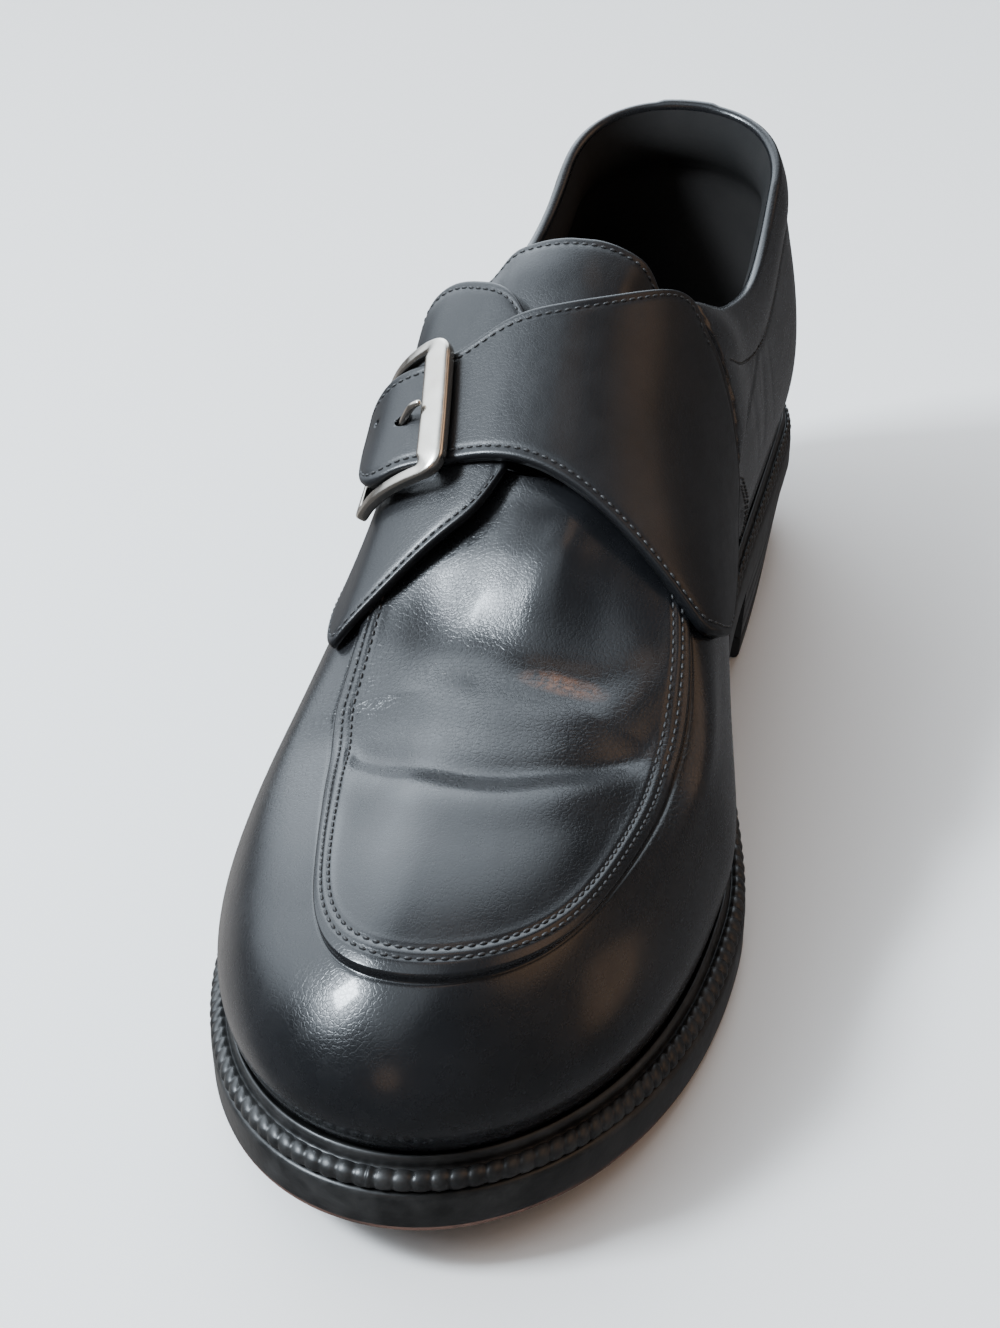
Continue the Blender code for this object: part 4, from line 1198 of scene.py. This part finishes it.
def make_panel(name, node, table, thickness, leather):
    """Leather panel with rounded edges over the form."""
    ends = column(table, PANEL_COLUMNS, "side")
    near = np.array(EDGE_SPOTS)
    length = (ends[-1] - ends[0]) * SIDE_SCALE
    spots = np.concatenate([near, steps(near[-1], length - near[-1], PANEL_ROWS)[:-1], length - near[::-1]])
    sides = ends[0] + spots / SIDE_SCALE
    rear, front, lift = panel_edges(table, sides)
    share = np.linspace(0, 1, PANEL_FILL)[1:-1]
    rear_part = rear[:, None] + near[None, :]
    front_part = front[:, None] - near[None, ::-1]
    middle = rear_part[:, -1:] + (front_part[:, :1] - rear_part[:, -1:]) * share[None, :]
    stations = np.concatenate([rear_part, middle, front_part], axis=1)
    spread = np.broadcast_to(sides[:, None], stations.shape)
    top = panel_top(table, thickness, stations, spread)
    low = panel_lift(table, np.broadcast_to(lift[:, None], stations.shape), stations, spread)
    bottom = across_skin(stations, spread, low)
    rows, columns = stations.shape
    count = rows * columns
    faces = grid_faces(rows, columns)
    faces += [face[::-1] for face in grid_faces(rows, columns, start=count)]
    border = list(range(columns))
    border += [row * columns + columns - 1 for row in range(1, rows)]
    border += [(rows - 1) * columns + spot for spot in range(columns - 2, -1, -1)]
    border += [row * columns for row in range(rows - 2, 0, -1)]
    for here, after in zip(border, border[1:] + border[:1]):
        faces.append((after, here, here + count, after + count))
    return make_piece(name, np.stack([top, bottom]), faces, [leather], node)


def along_line(points, normals, pitch):
    """Evenly spaced places on a line, with direction and normal."""
    length = lengths_along(points)
    count = int(length[-1] / pitch)
    places = (np.arange(count) + 0.5) * length[-1] / count

    def at(values, spots):
        return np.stack([np.interp(spots, length, values[:, axis]) for axis in range(3)], axis=-1)

    half_step = 0.3
    forward = unit(at(points, places + half_step) - at(points, places - half_step))
    normal = at(normals, places)
    normal -= forward * (normal * forward).sum(axis=-1, keepdims=True)
    return at(points, places), forward, unit(normal)


def add_stitches(store, points, normals):
    """Add a row of thread stitches along a line to a store of points and faces."""
    centres, forward, normal = along_line(np.asarray(points), np.asarray(normals), STITCH_PITCH)
    sideways = np.cross(normal, forward)
    angles = np.linspace(0, 2 * math.pi, STITCH_SIDES + 1)[:-1]
    for centre, ahead, up, aside in zip(centres, forward, normal, sideways):
        start = len(store["points"])
        for ring, width in STITCH_RINGS:
            rise = STITCH_SINK * (1 - 2 * abs(ring) ** 3)
            middle = centre + ahead * ring * STITCH_LENGTH / 2 + up * rise
            radius = width * STITCH_RADIUS
            for angle in angles:
                store["points"].append(middle + radius * (math.cos(angle) * aside + math.sin(angle) * up))
        store["faces"] += tube_faces(len(STITCH_RINGS), STITCH_SIDES, start)


def panel_stitches(store, table, thickness, edge, first, last):
    """Row of stitches inside the rear or front edge of a panel, between two sides."""
    sides = np.linspace(first, last, LINE_SPOTS)
    rear, front, _ = panel_edges(table, sides)
    stations = rear + EDGE_INSET if edge == "rear" else front - EDGE_INSET
    lateral = last_normal(LATERAL, stations, 1 - np.abs(sides))
    medial = last_normal(MEDIAL, stations, 1 - np.abs(sides))
    normals = np.where((sides < 0)[:, None], lateral, medial)
    add_stitches(store, panel_top(table, thickness, stations, sides), normals)


def make_stitches(thread):
    """All stitches of the shoe as one piece."""
    store = {"points": [], "faces": []}
    seam = np.concatenate([
        steps(SEAM_STITCH_START, TOE_POLE, SEAM_SPOTS[0]),
        steps(TOE_POLE, SOLE_LENGTH, SEAM_SPOTS[1]),
    ])
    for row in SEAM_ROWS:
        inward = row + row_shift(seam)
        lateral = upper_line(LATERAL, seam, apron_turns(LATERAL, seam, inward))
        medial = upper_line(MEDIAL, seam, apron_turns(MEDIAL, seam, inward))
        points = np.concatenate([lateral[0], medial[0][::-1]])
        normals = np.concatenate([lateral[1], medial[1][::-1]])
        add_stitches(store, points, normals)
    for side in (LATERAL, MEDIAL):
        for inset in WING_ROWS:
            turns = np.linspace(WING_STITCH_START, WING_TOP[0], WING_SPOTS)
            wing = straight(WING, WING_COLUMNS, "turn", "station", turns)
            add_stitches(store, *upper_line(side, wing - inset, turns))
        stations = np.linspace(0.0, COLLAR_STITCH_END, LINE_SPOTS)
        trial, lengths = section_lengths(side, stations)
        rim = topline_turn(side, stations)
        wanted = read_columns(rim[None, :], trial, lengths) - COLLAR_BAND_WIDTH
        add_stitches(store, *upper_line(side, stations, read_columns(wanted, lengths, trial)[0]))
    for table, thickness, rows in (
        (STRAP, STRAP_THICKNESS, STRAP_STITCHES),
        (FLAP, FLAP_THICKNESS, FLAP_STITCHES),
        (TONGUE, TONGUE_THICKNESS, TONGUE_STITCHES),
    ):
        for edge, first, last in rows:
            panel_stitches(store, table, thickness, edge, first, last)
    piece = make_mesh("stitches", store["points"], store["faces"], [thread])
    return show(piece, None)


def even_stations(spacing):
    """Stations that are evenly spaced round each side of the sole's edge."""
    trial = np.linspace(0, SOLE_LENGTH, EDGE_TRIALS)
    result = {}
    for side in (LATERAL, MEDIAL):
        length = lengths_along(sole_point(side, trial, 0.0, 0.0))
        count = int(round(length[-1] / spacing))
        places = np.linspace(0, length[-1], count + 1)
        result[side] = (np.interp(places, length, trial), places)
    return result


def make_welt(material):
    """Welt with a smooth bead beside the upper and a band of ribs."""
    under = SOLE_STACK - WELT_THICKNESS
    even = even_stations(RIB_PITCH / RIB_COLUMNS)
    halves = []
    for side in (LATERAL, MEDIAL):
        stations, places = even[side]
        margin = margin_at(stations)
        ribs = np.sqrt(np.abs(np.sin(math.pi * places / RIB_PITCH))) * RIB_HEIGHT
        rows = []
        for line, inset, rise, outward, upward in WELT_PROFILE:
            insets = {"sole": inset, "band": inset * (margin - WELT_GROOVE), "upper": margin + inset}
            height = under + rise + upward * ribs
            rows.append(sole_point(side, stations, insets[line] - outward * ribs, height))
        halves.append(np.stack(rows))
    grid = join_sides(*halves)
    faces = grid_faces(*grid.shape[:2], ring=True)
    return make_piece("welt_ribbed", grid, faces, [material], "welt")


def cap_faces(columns, start, upward):
    """Faces across a loop that runs lateral front to back, then medial back to front."""
    half = columns // 2
    faces = []
    for spot in range(half - 1):
        far = columns - 1 - spot
        quad = (start + spot, start + spot + 1, start + far - 1, start + far)
        faces.append(quad if upward else quad[::-1])
    return faces


def sole_loop(stations, inset, rise, from_floor=False):
    """Closed loop round the sole at an inset from its edge."""
    halves = []
    for side in (LATERAL, MEDIAL):
        points = sole_point(side, stations, inset, rise)
        if from_floor:
            points[:, 2] = rise
        halves.append(points)
    return np.concatenate([halves[0][::-1], halves[1]])


def make_stack(name, node, loops, materials, worn_rows=0):
    """Solid from closed loops, the lowest first; its lowest rows may have a second material."""
    grid = np.stack(loops)
    rows, columns = grid.shape[:2]
    faces = grid_faces(rows, columns, ring=True)
    faces += cap_faces(columns, 0, False)
    faces += cap_faces(columns, (rows - 1) * columns, True)
    face_materials = np.zeros(len(faces), int)
    face_materials[:worn_rows * columns] = 1
    piece = make_piece(name, grid, faces, materials, node, face_materials)
    piece.data.set_sharp_from_angle(angle=SHARP_ANGLE)
    return piece


def round_sole_stations():
    """Close stations round the whole sole."""
    return np.concatenate([
        [0.0],
        steps(0.0, HEEL_POLE, SOLE_STEPS["heel"]),
        steps(HEEL_POLE, HEEL_BREAST, SOLE_STEPS["seat"]),
        steps(HEEL_BREAST, TREAD_START, SOLE_STEPS["arch"]),
        steps(TREAD_START, TOE_POLE, SOLE_STEPS["tread"]),
        steps(TOE_POLE, SOLE_LENGTH, SOLE_STEPS["toe"]),
    ])


def make_outsole(material, worn):
    """Outsole with a rounded edge and a line worn along its foot."""
    stations = round_sole_stations()
    top = SOLE_STACK - WELT_THICKNESS - GAP
    bed = margin_at(stations) + BED_INSET
    profile = [*SOLE_FOOT, (0.0, top / 2)]
    profile += [(inset, top - depth) for inset, depth in SOLE_BROW]
    profile += [(bed, top), (bed, SOLE_STACK)]
    loops = [sole_loop(stations, inset, rise) for inset, rise in profile]
    return make_stack("outsole_edge", "outsole", loops, [material, worn], WORN_ROWS)


def heel_inset(stations, height):
    """Taper of the heel towards the floor, strongest at its back."""
    share = 1 - height / HEEL_HEIGHT
    back = 1 - ease(stations, 0.0, HEEL_BREAST)
    return HEEL_SET_IN + share * (HEEL_TAPER + HEEL_BACK_TAPER * back)


def heel_loop(stations, inset, height):
    """Level loop round the heel, set in from its tapered side."""
    return sole_loop(stations, heel_inset(stations, height) + inset, height, from_floor=True)


def make_heel(material, rubber):
    """Heel block of stacked lifts, and its rubber top lift."""
    stations = np.concatenate([
        [0.0],
        steps(0.0, HEEL_POLE, BLOCK_STEPS["heel"]),
        steps(HEEL_POLE, HEEL_BREAST, BLOCK_STEPS["seat"]),
    ])
    lift_lines = np.linspace(TOP_LIFT + GAP / 2, HEEL_HEIGHT - GAP, LIFT_COUNT + 1)
    loops = []
    for lower, upper in zip(lift_lines[:-1], lift_lines[1:]):
        loops.append(heel_loop(stations, LIFT_GROOVE, lower))
        loops.append(heel_loop(stations, 0.0, lower + LIFT_EDGE))
        loops.append(heel_loop(stations, 0.0, upper - LIFT_EDGE))
        loops.append(heel_loop(stations, LIFT_GROOVE, upper))
    make_stack("heel_block", "heel", loops, [material])
    top = TOP_LIFT - GAP / 2
    profile = [(inset * SOLE_EDGE_RADIUS, rise * SOLE_EDGE_RADIUS) for inset, rise in TOP_LIFT_FOOT]
    profile += [(0.0, top - LIFT_GROOVE), (LIFT_GROOVE, top)]
    loops = [heel_loop(stations, inset, height) for inset, height in profile]
    return make_stack("heel_rubber_lift", "heel_top_lift", loops, [rubber])


def make_insole(material):
    """Sock lining with a soft edge."""
    stations = round_sole_stations()
    inset = margin_at(stations) + WALL + INSOLE_GAP
    low = SOLE_STACK + GAP
    high = low + INSOLE_THICKNESS
    profile = [(0.0, low)] + [(inward, high - depth) for inward, depth in SOCK_EDGE]
    loops = [sole_loop(stations, inset + inward, rise) for inward, rise in profile]
    return make_stack("insole_sock", "insole", loops, [material])


def buckle_point(along, across, lift):
    """Point of the buckle by millimetres along and across its centre lines."""
    along_share = along / BUCKLE_LENGTH
    across_share = across / BUCKLE_WIDTH
    values = {}
    for end in ("rear_station", "front_station", "rear_side", "front_side"):
        lateral, medial = column(BUCKLE, BUCKLE_COLUMNS, end)
        values[end] = lateral + (medial - lateral) * across_share
    station = values["rear_station"] + (values["front_station"] - values["rear_station"]) * along_share
    side = values["rear_side"] + (values["front_side"] - values["rear_side"]) * along_share
    return across_skin(station, side, lift)


def buckle_path():
    """Rounded rectangle of the buckle's centre line, with the outward direction at each place."""
    corners = (
        (BUCKLE_LENGTH, BUCKLE_WIDTH, 0),
        (0.0, BUCKLE_WIDTH, 1),
        (0.0, 0.0, 2),
        (BUCKLE_LENGTH, 0.0, 3),
    )
    places = []
    directions = []
    for along, across, quarter in corners:
        centre_along = along - math.copysign(BUCKLE_CORNER, along - BUCKLE_LENGTH / 2)
        centre_across = across - math.copysign(BUCKLE_CORNER, across - BUCKLE_WIDTH / 2)
        for turn in np.linspace(0, math.pi / 2, CORNER_SPOTS):
            angle = turn + quarter * math.pi / 2
            direction = np.array([math.cos(angle), math.sin(angle)])
            places.append(np.array([centre_along, centre_across]) + BUCKLE_CORNER * direction)
            directions.append(direction)
    filled = []
    for index, place_here in enumerate(places):
        following = places[(index + 1) % len(places)]
        count = max(1, int(np.linalg.norm(following - place_here) / BAR_SPACING))
        for step in range(count):
            filled.append((place_here + (following - place_here) * step / count, directions[index]))
    return filled


def make_buckle(metal):
    """Frame with a broad flat medial bar and soft edges."""
    lateral_lift, medial_lift = column(BUCKLE, BUCKLE_COLUMNS, "lift")
    angles = steps(0.0, 2 * math.pi, BAR_SIDES)
    rows = []
    for (along, across), direction in buckle_path():
        share = across / BUCKLE_WIDTH
        broad = ease(across, BUCKLE_WIDTH - BUCKLE_CORNER, BUCKLE_WIDTH) * abs(direction[1])
        half_width = BAR_HALF_WIDTH + (BROAD_BAR_HALF_WIDTH - BAR_HALF_WIDTH) * broad
        half_height = BAR_HALF_HEIGHT + (BROAD_BAR_HALF_HEIGHT - BAR_HALF_HEIGHT) * broad
        lift = lateral_lift + (medial_lift - lateral_lift) * share
        out = half_width * np.sign(np.cos(angles)) * np.abs(np.cos(angles)) ** BAR_SQUARENESS
        up = half_height * np.sign(np.sin(angles)) * np.abs(np.sin(angles)) ** BAR_SQUARENESS
        rows.append(buckle_point(along + out * direction[0], across + out * direction[1], lift + up))
    grid = np.stack(rows + rows[:1])
    faces = grid_faces(*grid.shape[:2], ring=True)
    return make_piece("buckle_metal_frame", grid, faces, [metal], "buckle_frame")


def make_prong(metal):
    """Tapered pin through the strap."""
    spots = np.linspace(0, len(PRONG) - 1, PRONG_SPOTS)
    path = {
        name: spline(np.arange(len(PRONG)), column(PRONG, PRONG_COLUMNS, name), spots)
        for name in PRONG_COLUMNS
    }
    centres = across_skin(path["station"], path["side"], path["lift"])
    forward = unit(np.gradient(centres, axis=0))
    ends = np.minimum(spots, spots[-1] - spots)
    radii = path["radius"] * np.sqrt(np.clip(ends / PRONG_END, PRONG_END_LEAST, 1))
    grid = rings_round(centres, forward, radii, PRONG_SIDES)
    faces = tube_faces(*grid.shape[:2])
    return make_piece("buckle_metal_prong", grid, faces, [metal], "buckle_prong")


def punch(piece, start, end, radius):
    """Cut a round hole through a piece."""
    axis = unit(end - start)
    rings = rings_round(np.stack([start, end]), np.stack([axis, axis]), np.full(2, radius), HOLE_SIDES)
    cutter = make_mesh("hole_cutter", rings, tube_faces(2, HOLE_SIDES), [])
    weld_and_turn(cutter)
    modifier = piece.modifiers.new("hole", "BOOLEAN")
    modifier.operation = "DIFFERENCE"
    modifier.solver = "EXACT"
    modifier.object = cutter
    graph = bpy.context.evaluated_depsgraph_get()
    cut = bpy.data.meshes.new_from_object(piece.evaluated_get(graph))
    piece.modifiers.clear()
    piece.data = cut
    bpy.data.objects.remove(cutter, do_unlink=True)


def make_strap(leather):
    """Strap with the prong's hole and a spare one."""
    piece = make_panel("strap_leather", "strap", STRAP, STRAP_THICKNESS, leather)
    low, high = PRONG[1], PRONG[3]
    stations = np.array([low[0], high[0], SPARE_HOLE[0], SPARE_HOLE[0]])
    sides = np.array([low[1], high[1], SPARE_HOLE[1], SPARE_HOLE[1]])
    lifts = np.array([low[2], high[2], *SPARE_HOLE_LIFTS])
    ends = across_skin(stations, sides, lifts)
    punch(piece, ends[0], ends[1], PRONG_HOLE_RADIUS)
    punch(piece, ends[2], ends[3], SPARE_HOLE_RADIUS)
    return piece


def new_material(name, colour, roughness, metallic=0.0):
    """Material with its shader and node tree."""
    material = bpy.data.materials.new(name)
    material.use_nodes = True
    shader = material.node_tree.nodes["Principled BSDF"]
    shader.inputs["Base Color"].default_value = (*colour, 1.0)
    shader.inputs["Roughness"].default_value = roughness
    shader.inputs["Metallic"].default_value = metallic
    return material, shader, material.node_tree


def own_place(tree):
    """Place on the shoe, in its own coordinates."""
    return tree.nodes.new("ShaderNodeTexCoord").outputs["Object"]


def along_shoe(tree, start, end):
    """Share that grows from 0 to 1 between two places along Y, in millimetres."""
    split = tree.nodes.new("ShaderNodeSeparateXYZ")
    tree.links.new(own_place(tree), split.inputs["Vector"])
    return remap(tree, split.outputs["Y"], start * MM, end * MM)


def noise(tree, name):
    """One of the named noises, in the shoe's own coordinates."""
    scale, detail, roughness, stretch = NOISES[name]
    mapping = tree.nodes.new("ShaderNodeMapping")
    mapping.inputs["Scale"].default_value = (1.0, stretch, 1.0)
    node = tree.nodes.new("ShaderNodeTexNoise")
    node.inputs["Scale"].default_value = scale
    node.inputs["Detail"].default_value = detail
    node.inputs["Roughness"].default_value = roughness
    tree.links.new(own_place(tree), mapping.inputs["Vector"])
    tree.links.new(mapping.outputs["Vector"], node.inputs["Vector"])
    return node.outputs["Fac"]


def cells(tree, scale, edge):
    """Small cells as in leather grain: 0 on their edges, 1 from a distance inward."""
    node = tree.nodes.new("ShaderNodeTexVoronoi")
    node.feature = "DISTANCE_TO_EDGE"
    node.inputs["Scale"].default_value = scale
    tree.links.new(own_place(tree), node.inputs["Vector"])
    return remap(tree, node.outputs["Distance"], 0.0, edge)


def remap(tree, value, low, high, to_low=0.0, to_high=1.0):
    """Value mapped from one range to another."""
    node = tree.nodes.new("ShaderNodeMapRange")
    for name, number in (("From Min", low), ("From Max", high), ("To Min", to_low), ("To Max", to_high)):
        node.inputs[name].default_value = number
    tree.links.new(value, node.inputs["Value"])
    return node.outputs["Result"]


def blend_colours(tree, factor, first, second):
    """Mix of two colours by a factor."""
    node = tree.nodes.new("ShaderNodeMix")
    node.data_type = "RGBA"
    tree.links.new(factor, node.inputs["Factor"])
    for name, colour in (("A", first), ("B", second)):
        socket = [item for item in node.inputs if item.name == name and item.type == "RGBA"][0]
        if isinstance(colour, tuple):
            socket.default_value = (*colour, 1.0)
        else:
            tree.links.new(colour, socket)
    return [item for item in node.outputs if item.type == "RGBA"][0]


def noise_share(tree, name):
    """Share that one of the named noises gives over its range."""
    return remap(tree, noise(tree, name), *RANGES[name])


def add_bumps(tree, shader, heights):
    """Chain of the named bumps over their heights."""
    previous = None
    for name, height in heights.items():
        strength, distance = BUMPS[name]
        node = tree.nodes.new("ShaderNodeBump")
        node.inputs["Strength"].default_value = strength
        node.inputs["Distance"].default_value = distance
        tree.links.new(height, node.inputs["Height"])
        if previous:
            tree.links.new(previous, node.inputs["Normal"])
        previous = node.outputs["Normal"]
    tree.links.new(previous, shader.inputs["Normal"])


def set_colour(tree, shader, share, first, second):
    """Base colour that goes from one colour to another by a share."""
    tree.links.new(blend_colours(tree, share, first, second), shader.inputs["Base Color"])


def make_leather(name):
    """Polished black leather with fine grain, soft wear, a thin coat of wax and a painted brown reflection
    behind the roll; it opens where it folds.
    """
    low_gloss, high_gloss, coat = LEATHER_GLOSS[name]
    material, shader, tree = new_material(name, LEATHER_DARK, low_gloss)
    black = blend_colours(tree, noise_share(tree, "leather_patches"), LEATHER_DARK, LEATHER_PALE)
    # Painted reflection: a brown patch in the dip behind the roll, mixed into the base colour
    set_colour(tree, shader, painted_reflection_patch(tree), black, REFLECTION_BROWN)
    scuffs = remap(tree, noise(tree, "leather_scuffs"), *RANGES["leather_scuffs"], low_gloss, high_gloss)
    tree.links.new(scuffs, shader.inputs["Roughness"])
    shader.inputs["Coat Weight"].default_value = coat
    shader.inputs["Specular IOR Level"].default_value = LEATHER_SPECULAR
    folds = multiply(tree, along_shoe(tree, *FOLDS_BEHIND), along_shoe(tree, *FOLDS_AHEAD))
    tree.links.new(remap(tree, folds, 0.0, 1.0, *COAT_ROUGHNESS), shader.inputs["Coat Roughness"])
    add_bumps(tree, shader, {
        "grain_cells": cells(tree, *GRAIN_CELLS),
        "leather_pores": noise(tree, "leather_pores"),
        "crack_cells": multiply(tree, cells(tree, *CRACK_CELLS), folds),
        "leather_waves": noise(tree, "leather_waves"),
        "leather_dents": noise(tree, "leather_dents"),
    })
    return material


def painted_reflection_patch(tree):
    """Share of the brown patch behind the roll, a painted warm reflection, with a broken edge."""
    mapping = tree.nodes.new("ShaderNodeMapping")
    for axis in range(3):
        mapping.inputs["Scale"].default_value[axis] = 1 / (MARK_REACH[axis] * MM)
        mapping.inputs["Location"].default_value[axis] = -MARK_PLACE[axis] / MARK_REACH[axis]
    length = tree.nodes.new("ShaderNodeVectorMath")
    length.operation = "LENGTH"
    tree.links.new(own_place(tree), mapping.inputs["Vector"])
    tree.links.new(mapping.outputs["Vector"], length.inputs[0])
    near = remap(tree, length.outputs["Value"], *MARK_FADE)
    return multiply(tree, near, noise_share(tree, "mark_edge"))


def multiply(tree, first, second):
    """Product of two values."""
    node = tree.nodes.new("ShaderNodeMath")
    node.operation = "MULTIPLY"
    tree.links.new(first, node.inputs[0])
    tree.links.new(second, node.inputs[1])
    return node.outputs["Value"]


def make_lining_leather():
    """Matte black lining."""
    material, shader, tree = new_material("lining", LINING_MEAN, LINING_ROUGHNESS)
    shader.inputs["Specular IOR Level"].default_value = LINING_SPECULAR
    set_colour(tree, shader, noise_share(tree, "lining_patches"), LINING_DARK, LINING_PALE)
    add_bumps(tree, shader, {"lining_nap": noise(tree, "lining_nap")})
    return material


def make_sole_black(name):
    """Satin black of welt, sole edge and heel, with small marks."""
    mean, smooth, rough = SOLE_ROUGHNESS[name]
    material, shader, tree = new_material(name, SOLE_MEAN, mean)
    marks = noise(tree, "sole_marks")
    set_colour(tree, shader, remap(tree, marks, *RANGES["sole_marks"]), SOLE_BLACK, SOLE_PALE)
    tree.links.new(remap(tree, marks, *RANGES["sole_gloss"], smooth, rough), shader.inputs["Roughness"])
    add_bumps(tree, shader, {"sole_grain": noise(tree, "sole_grain"), "sole_marks": marks})
    return material


def make_worn_edge():
    """Foot of the sole's edge: worn to a warm brown under the forefoot, black towards the heel."""
    material, shader, tree = new_material("worn_sole_edge", SOLE_DARK, WORN_ROUGHNESS)
    worn = multiply(tree, along_shoe(tree, *WORN_STRETCH), noise_share(tree, "worn_spots"))
    set_colour(tree, shader, worn, SOLE_DARK, WORN_BROWN)
    add_bumps(tree, shader, {"worn_grain": noise(tree, "worn_grain")})
    return material


def make_thread():
    """Black waxed thread."""
    material, shader, tree = new_material("thread", THREAD_MEAN, THREAD_ROUGHNESS)
    set_colour(tree, shader, noise(tree, "thread_shade"), THREAD_DARK, THREAD_PALE)
    add_bumps(tree, shader, {"thread_twist": noise(tree, "thread_twist")})
    return material


def make_metal():
    """Satin nickel with fine scratches."""
    mean, smooth, rough = NICKEL_ROUGHNESS
    material, shader, tree = new_material("satin_nickel", NICKEL_MEAN, mean, metallic=1.0)
    scratches = noise(tree, "metal_scratches")
    gloss = remap(tree, scratches, *RANGES["metal_scratches"], smooth, rough)
    tree.links.new(gloss, shader.inputs["Roughness"])
    set_colour(tree, shader, noise_share(tree, "metal_patches"), NICKEL_PALE, NICKEL_DARK)
    add_bumps(tree, shader, {"metal_scratches": scratches})
    return material


def make_floor():
    """Pale floor."""
    bpy.ops.mesh.primitive_plane_add(size=FLOOR_SIZE)
    floor = bpy.context.active_object
    floor.name = "floor"
    mean, smooth, rough = FLOOR_ROUGHNESS
    material, shader, tree = new_material("pale_floor", FLOOR_PALE, mean)
    gloss = remap(tree, noise(tree, "floor_patches"), *RANGES["floor_patches"], smooth, rough)
    tree.links.new(gloss, shader.inputs["Roughness"])
    shader.inputs["Specular IOR Level"].default_value = FLOOR_SPECULAR
    floor.data.materials.append(material)
    floor.visible_glossy = False
    return floor


def direction(azimuth, elevation):
    """Unit vector for degrees clockwise from the heel, seen from above, and degrees over the floor."""
    turn = math.radians(azimuth)
    rise = math.radians(elevation)
    return Vector((math.sin(turn) * math.cos(rise), math.cos(turn) * math.cos(rise), math.sin(rise)))


def add_key():
    """Soft square light at the front left, aimed at the shoe."""
    light = bpy.data.lights.new("key_box", "AREA")
    light.shape = "SQUARE"
    light.size = KEY_SIZE
    light.energy = KEY_POWER
    light.color = COOL
    lamp = bpy.data.objects.new("key_box", light)
    towards = direction(*KEY_DIRECTION)
    lamp.location = Vector(KEY_TARGET) * MM + towards * KEY_DISTANCE
    lamp.rotation_euler = (-towards).to_track_quat("-Z", "Y").to_euler()
    bpy.context.collection.objects.link(lamp)


def add_room():
    """Dim room with soft glows: wide windows at the left and back, and warm things around."""
    world = bpy.data.worlds.new("room")
    world.use_nodes = True
    tree = world.node_tree
    place_node = tree.nodes.new("ShaderNodeTexCoord")
    total = None
    for azimuth, elevation, inner, outer, strength, colour in GLOWS:
        towards = tree.nodes.new("ShaderNodeVectorMath")
        towards.operation = "DOT_PRODUCT"
        towards.inputs[1].default_value = direction(azimuth, elevation)
        tree.links.new(place_node.outputs["Generated"], towards.inputs[0])
        share = tree.nodes.new("ShaderNodeMapRange")
        share.interpolation_type = "SMOOTHSTEP"
        share.inputs["From Min"].default_value = math.cos(math.radians(outer))
        share.inputs["From Max"].default_value = math.cos(math.radians(inner))
        tree.links.new(towards.outputs["Value"], share.inputs["Value"])
        glow = tree.nodes.new("ShaderNodeVectorMath")
        glow.operation = "MULTIPLY_ADD"
        tree.links.new(share.outputs["Result"], glow.inputs[0])
        glow.inputs[1].default_value = [strength * part for part in colour]
        if total is None:
            glow.inputs[2].default_value = ROOM_COLOUR
        else:
            tree.links.new(total, glow.inputs[2])
        total = glow.outputs["Vector"]
    tree.links.new(total, tree.nodes["Background"].inputs["Color"])
    bpy.context.scene.world = world


def add_camera():
    """Camera at the photograph's place, turned to frame the one shoe."""
    camera = bpy.data.cameras.new("photo_camera")
    camera.lens = CAMERA_LENS
    camera.sensor_width = SENSOR_WIDTH
    camera.clip_start = NEAREST
    holder = bpy.data.objects.new("photo_camera", camera)
    place_at = Vector(CAMERA_PLACE) * MM
    forward = (Vector(CAMERA_TARGET) * MM - place_at).normalized()
    level = forward.cross(Vector((0, 0, 1))).normalized()
    down = forward.cross(level)
    right = level * math.cos(CAMERA_ROLL) + down * math.sin(CAMERA_ROLL)
    up = right.cross(forward)
    turn = Matrix((right, up, -forward)).transposed()
    holder.matrix_world = Matrix.Translation(place_at) @ turn.to_4x4()
    bpy.context.collection.objects.link(holder)
    bpy.context.scene.camera = holder


def main():
    """Dress the shoe, then set up floor, light and camera."""
    leather = make_leather("polished_leather")
    panel = make_leather("panel_leather")
    lining = make_lining_leather()
    sole = make_sole_black("sole_black")
    rubber = make_sole_black("heel_rubber")
    metal = make_metal()
    make_upper(leather)
    make_lining(lining)
    make_panel("tongue_leather", "tongue", TONGUE, TONGUE_THICKNESS, panel)
    make_panel("flap_leather", "buckle_flap", FLAP, FLAP_THICKNESS, panel)
    make_strap(panel)
    make_stitches(make_thread())
    make_welt(sole)
    make_outsole(sole, make_worn_edge())
    make_heel(sole, rubber)
    make_insole(lining)
    make_buckle(metal)
    make_prong(metal)
    make_floor()
    add_key()
    add_room()
    add_camera()


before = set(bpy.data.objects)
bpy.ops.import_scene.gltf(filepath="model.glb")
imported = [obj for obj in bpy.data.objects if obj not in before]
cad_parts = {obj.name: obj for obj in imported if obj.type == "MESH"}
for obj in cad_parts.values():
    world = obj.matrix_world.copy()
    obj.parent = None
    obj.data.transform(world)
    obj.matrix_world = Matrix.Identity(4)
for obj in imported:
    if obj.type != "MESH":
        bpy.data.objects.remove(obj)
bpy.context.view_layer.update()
main()
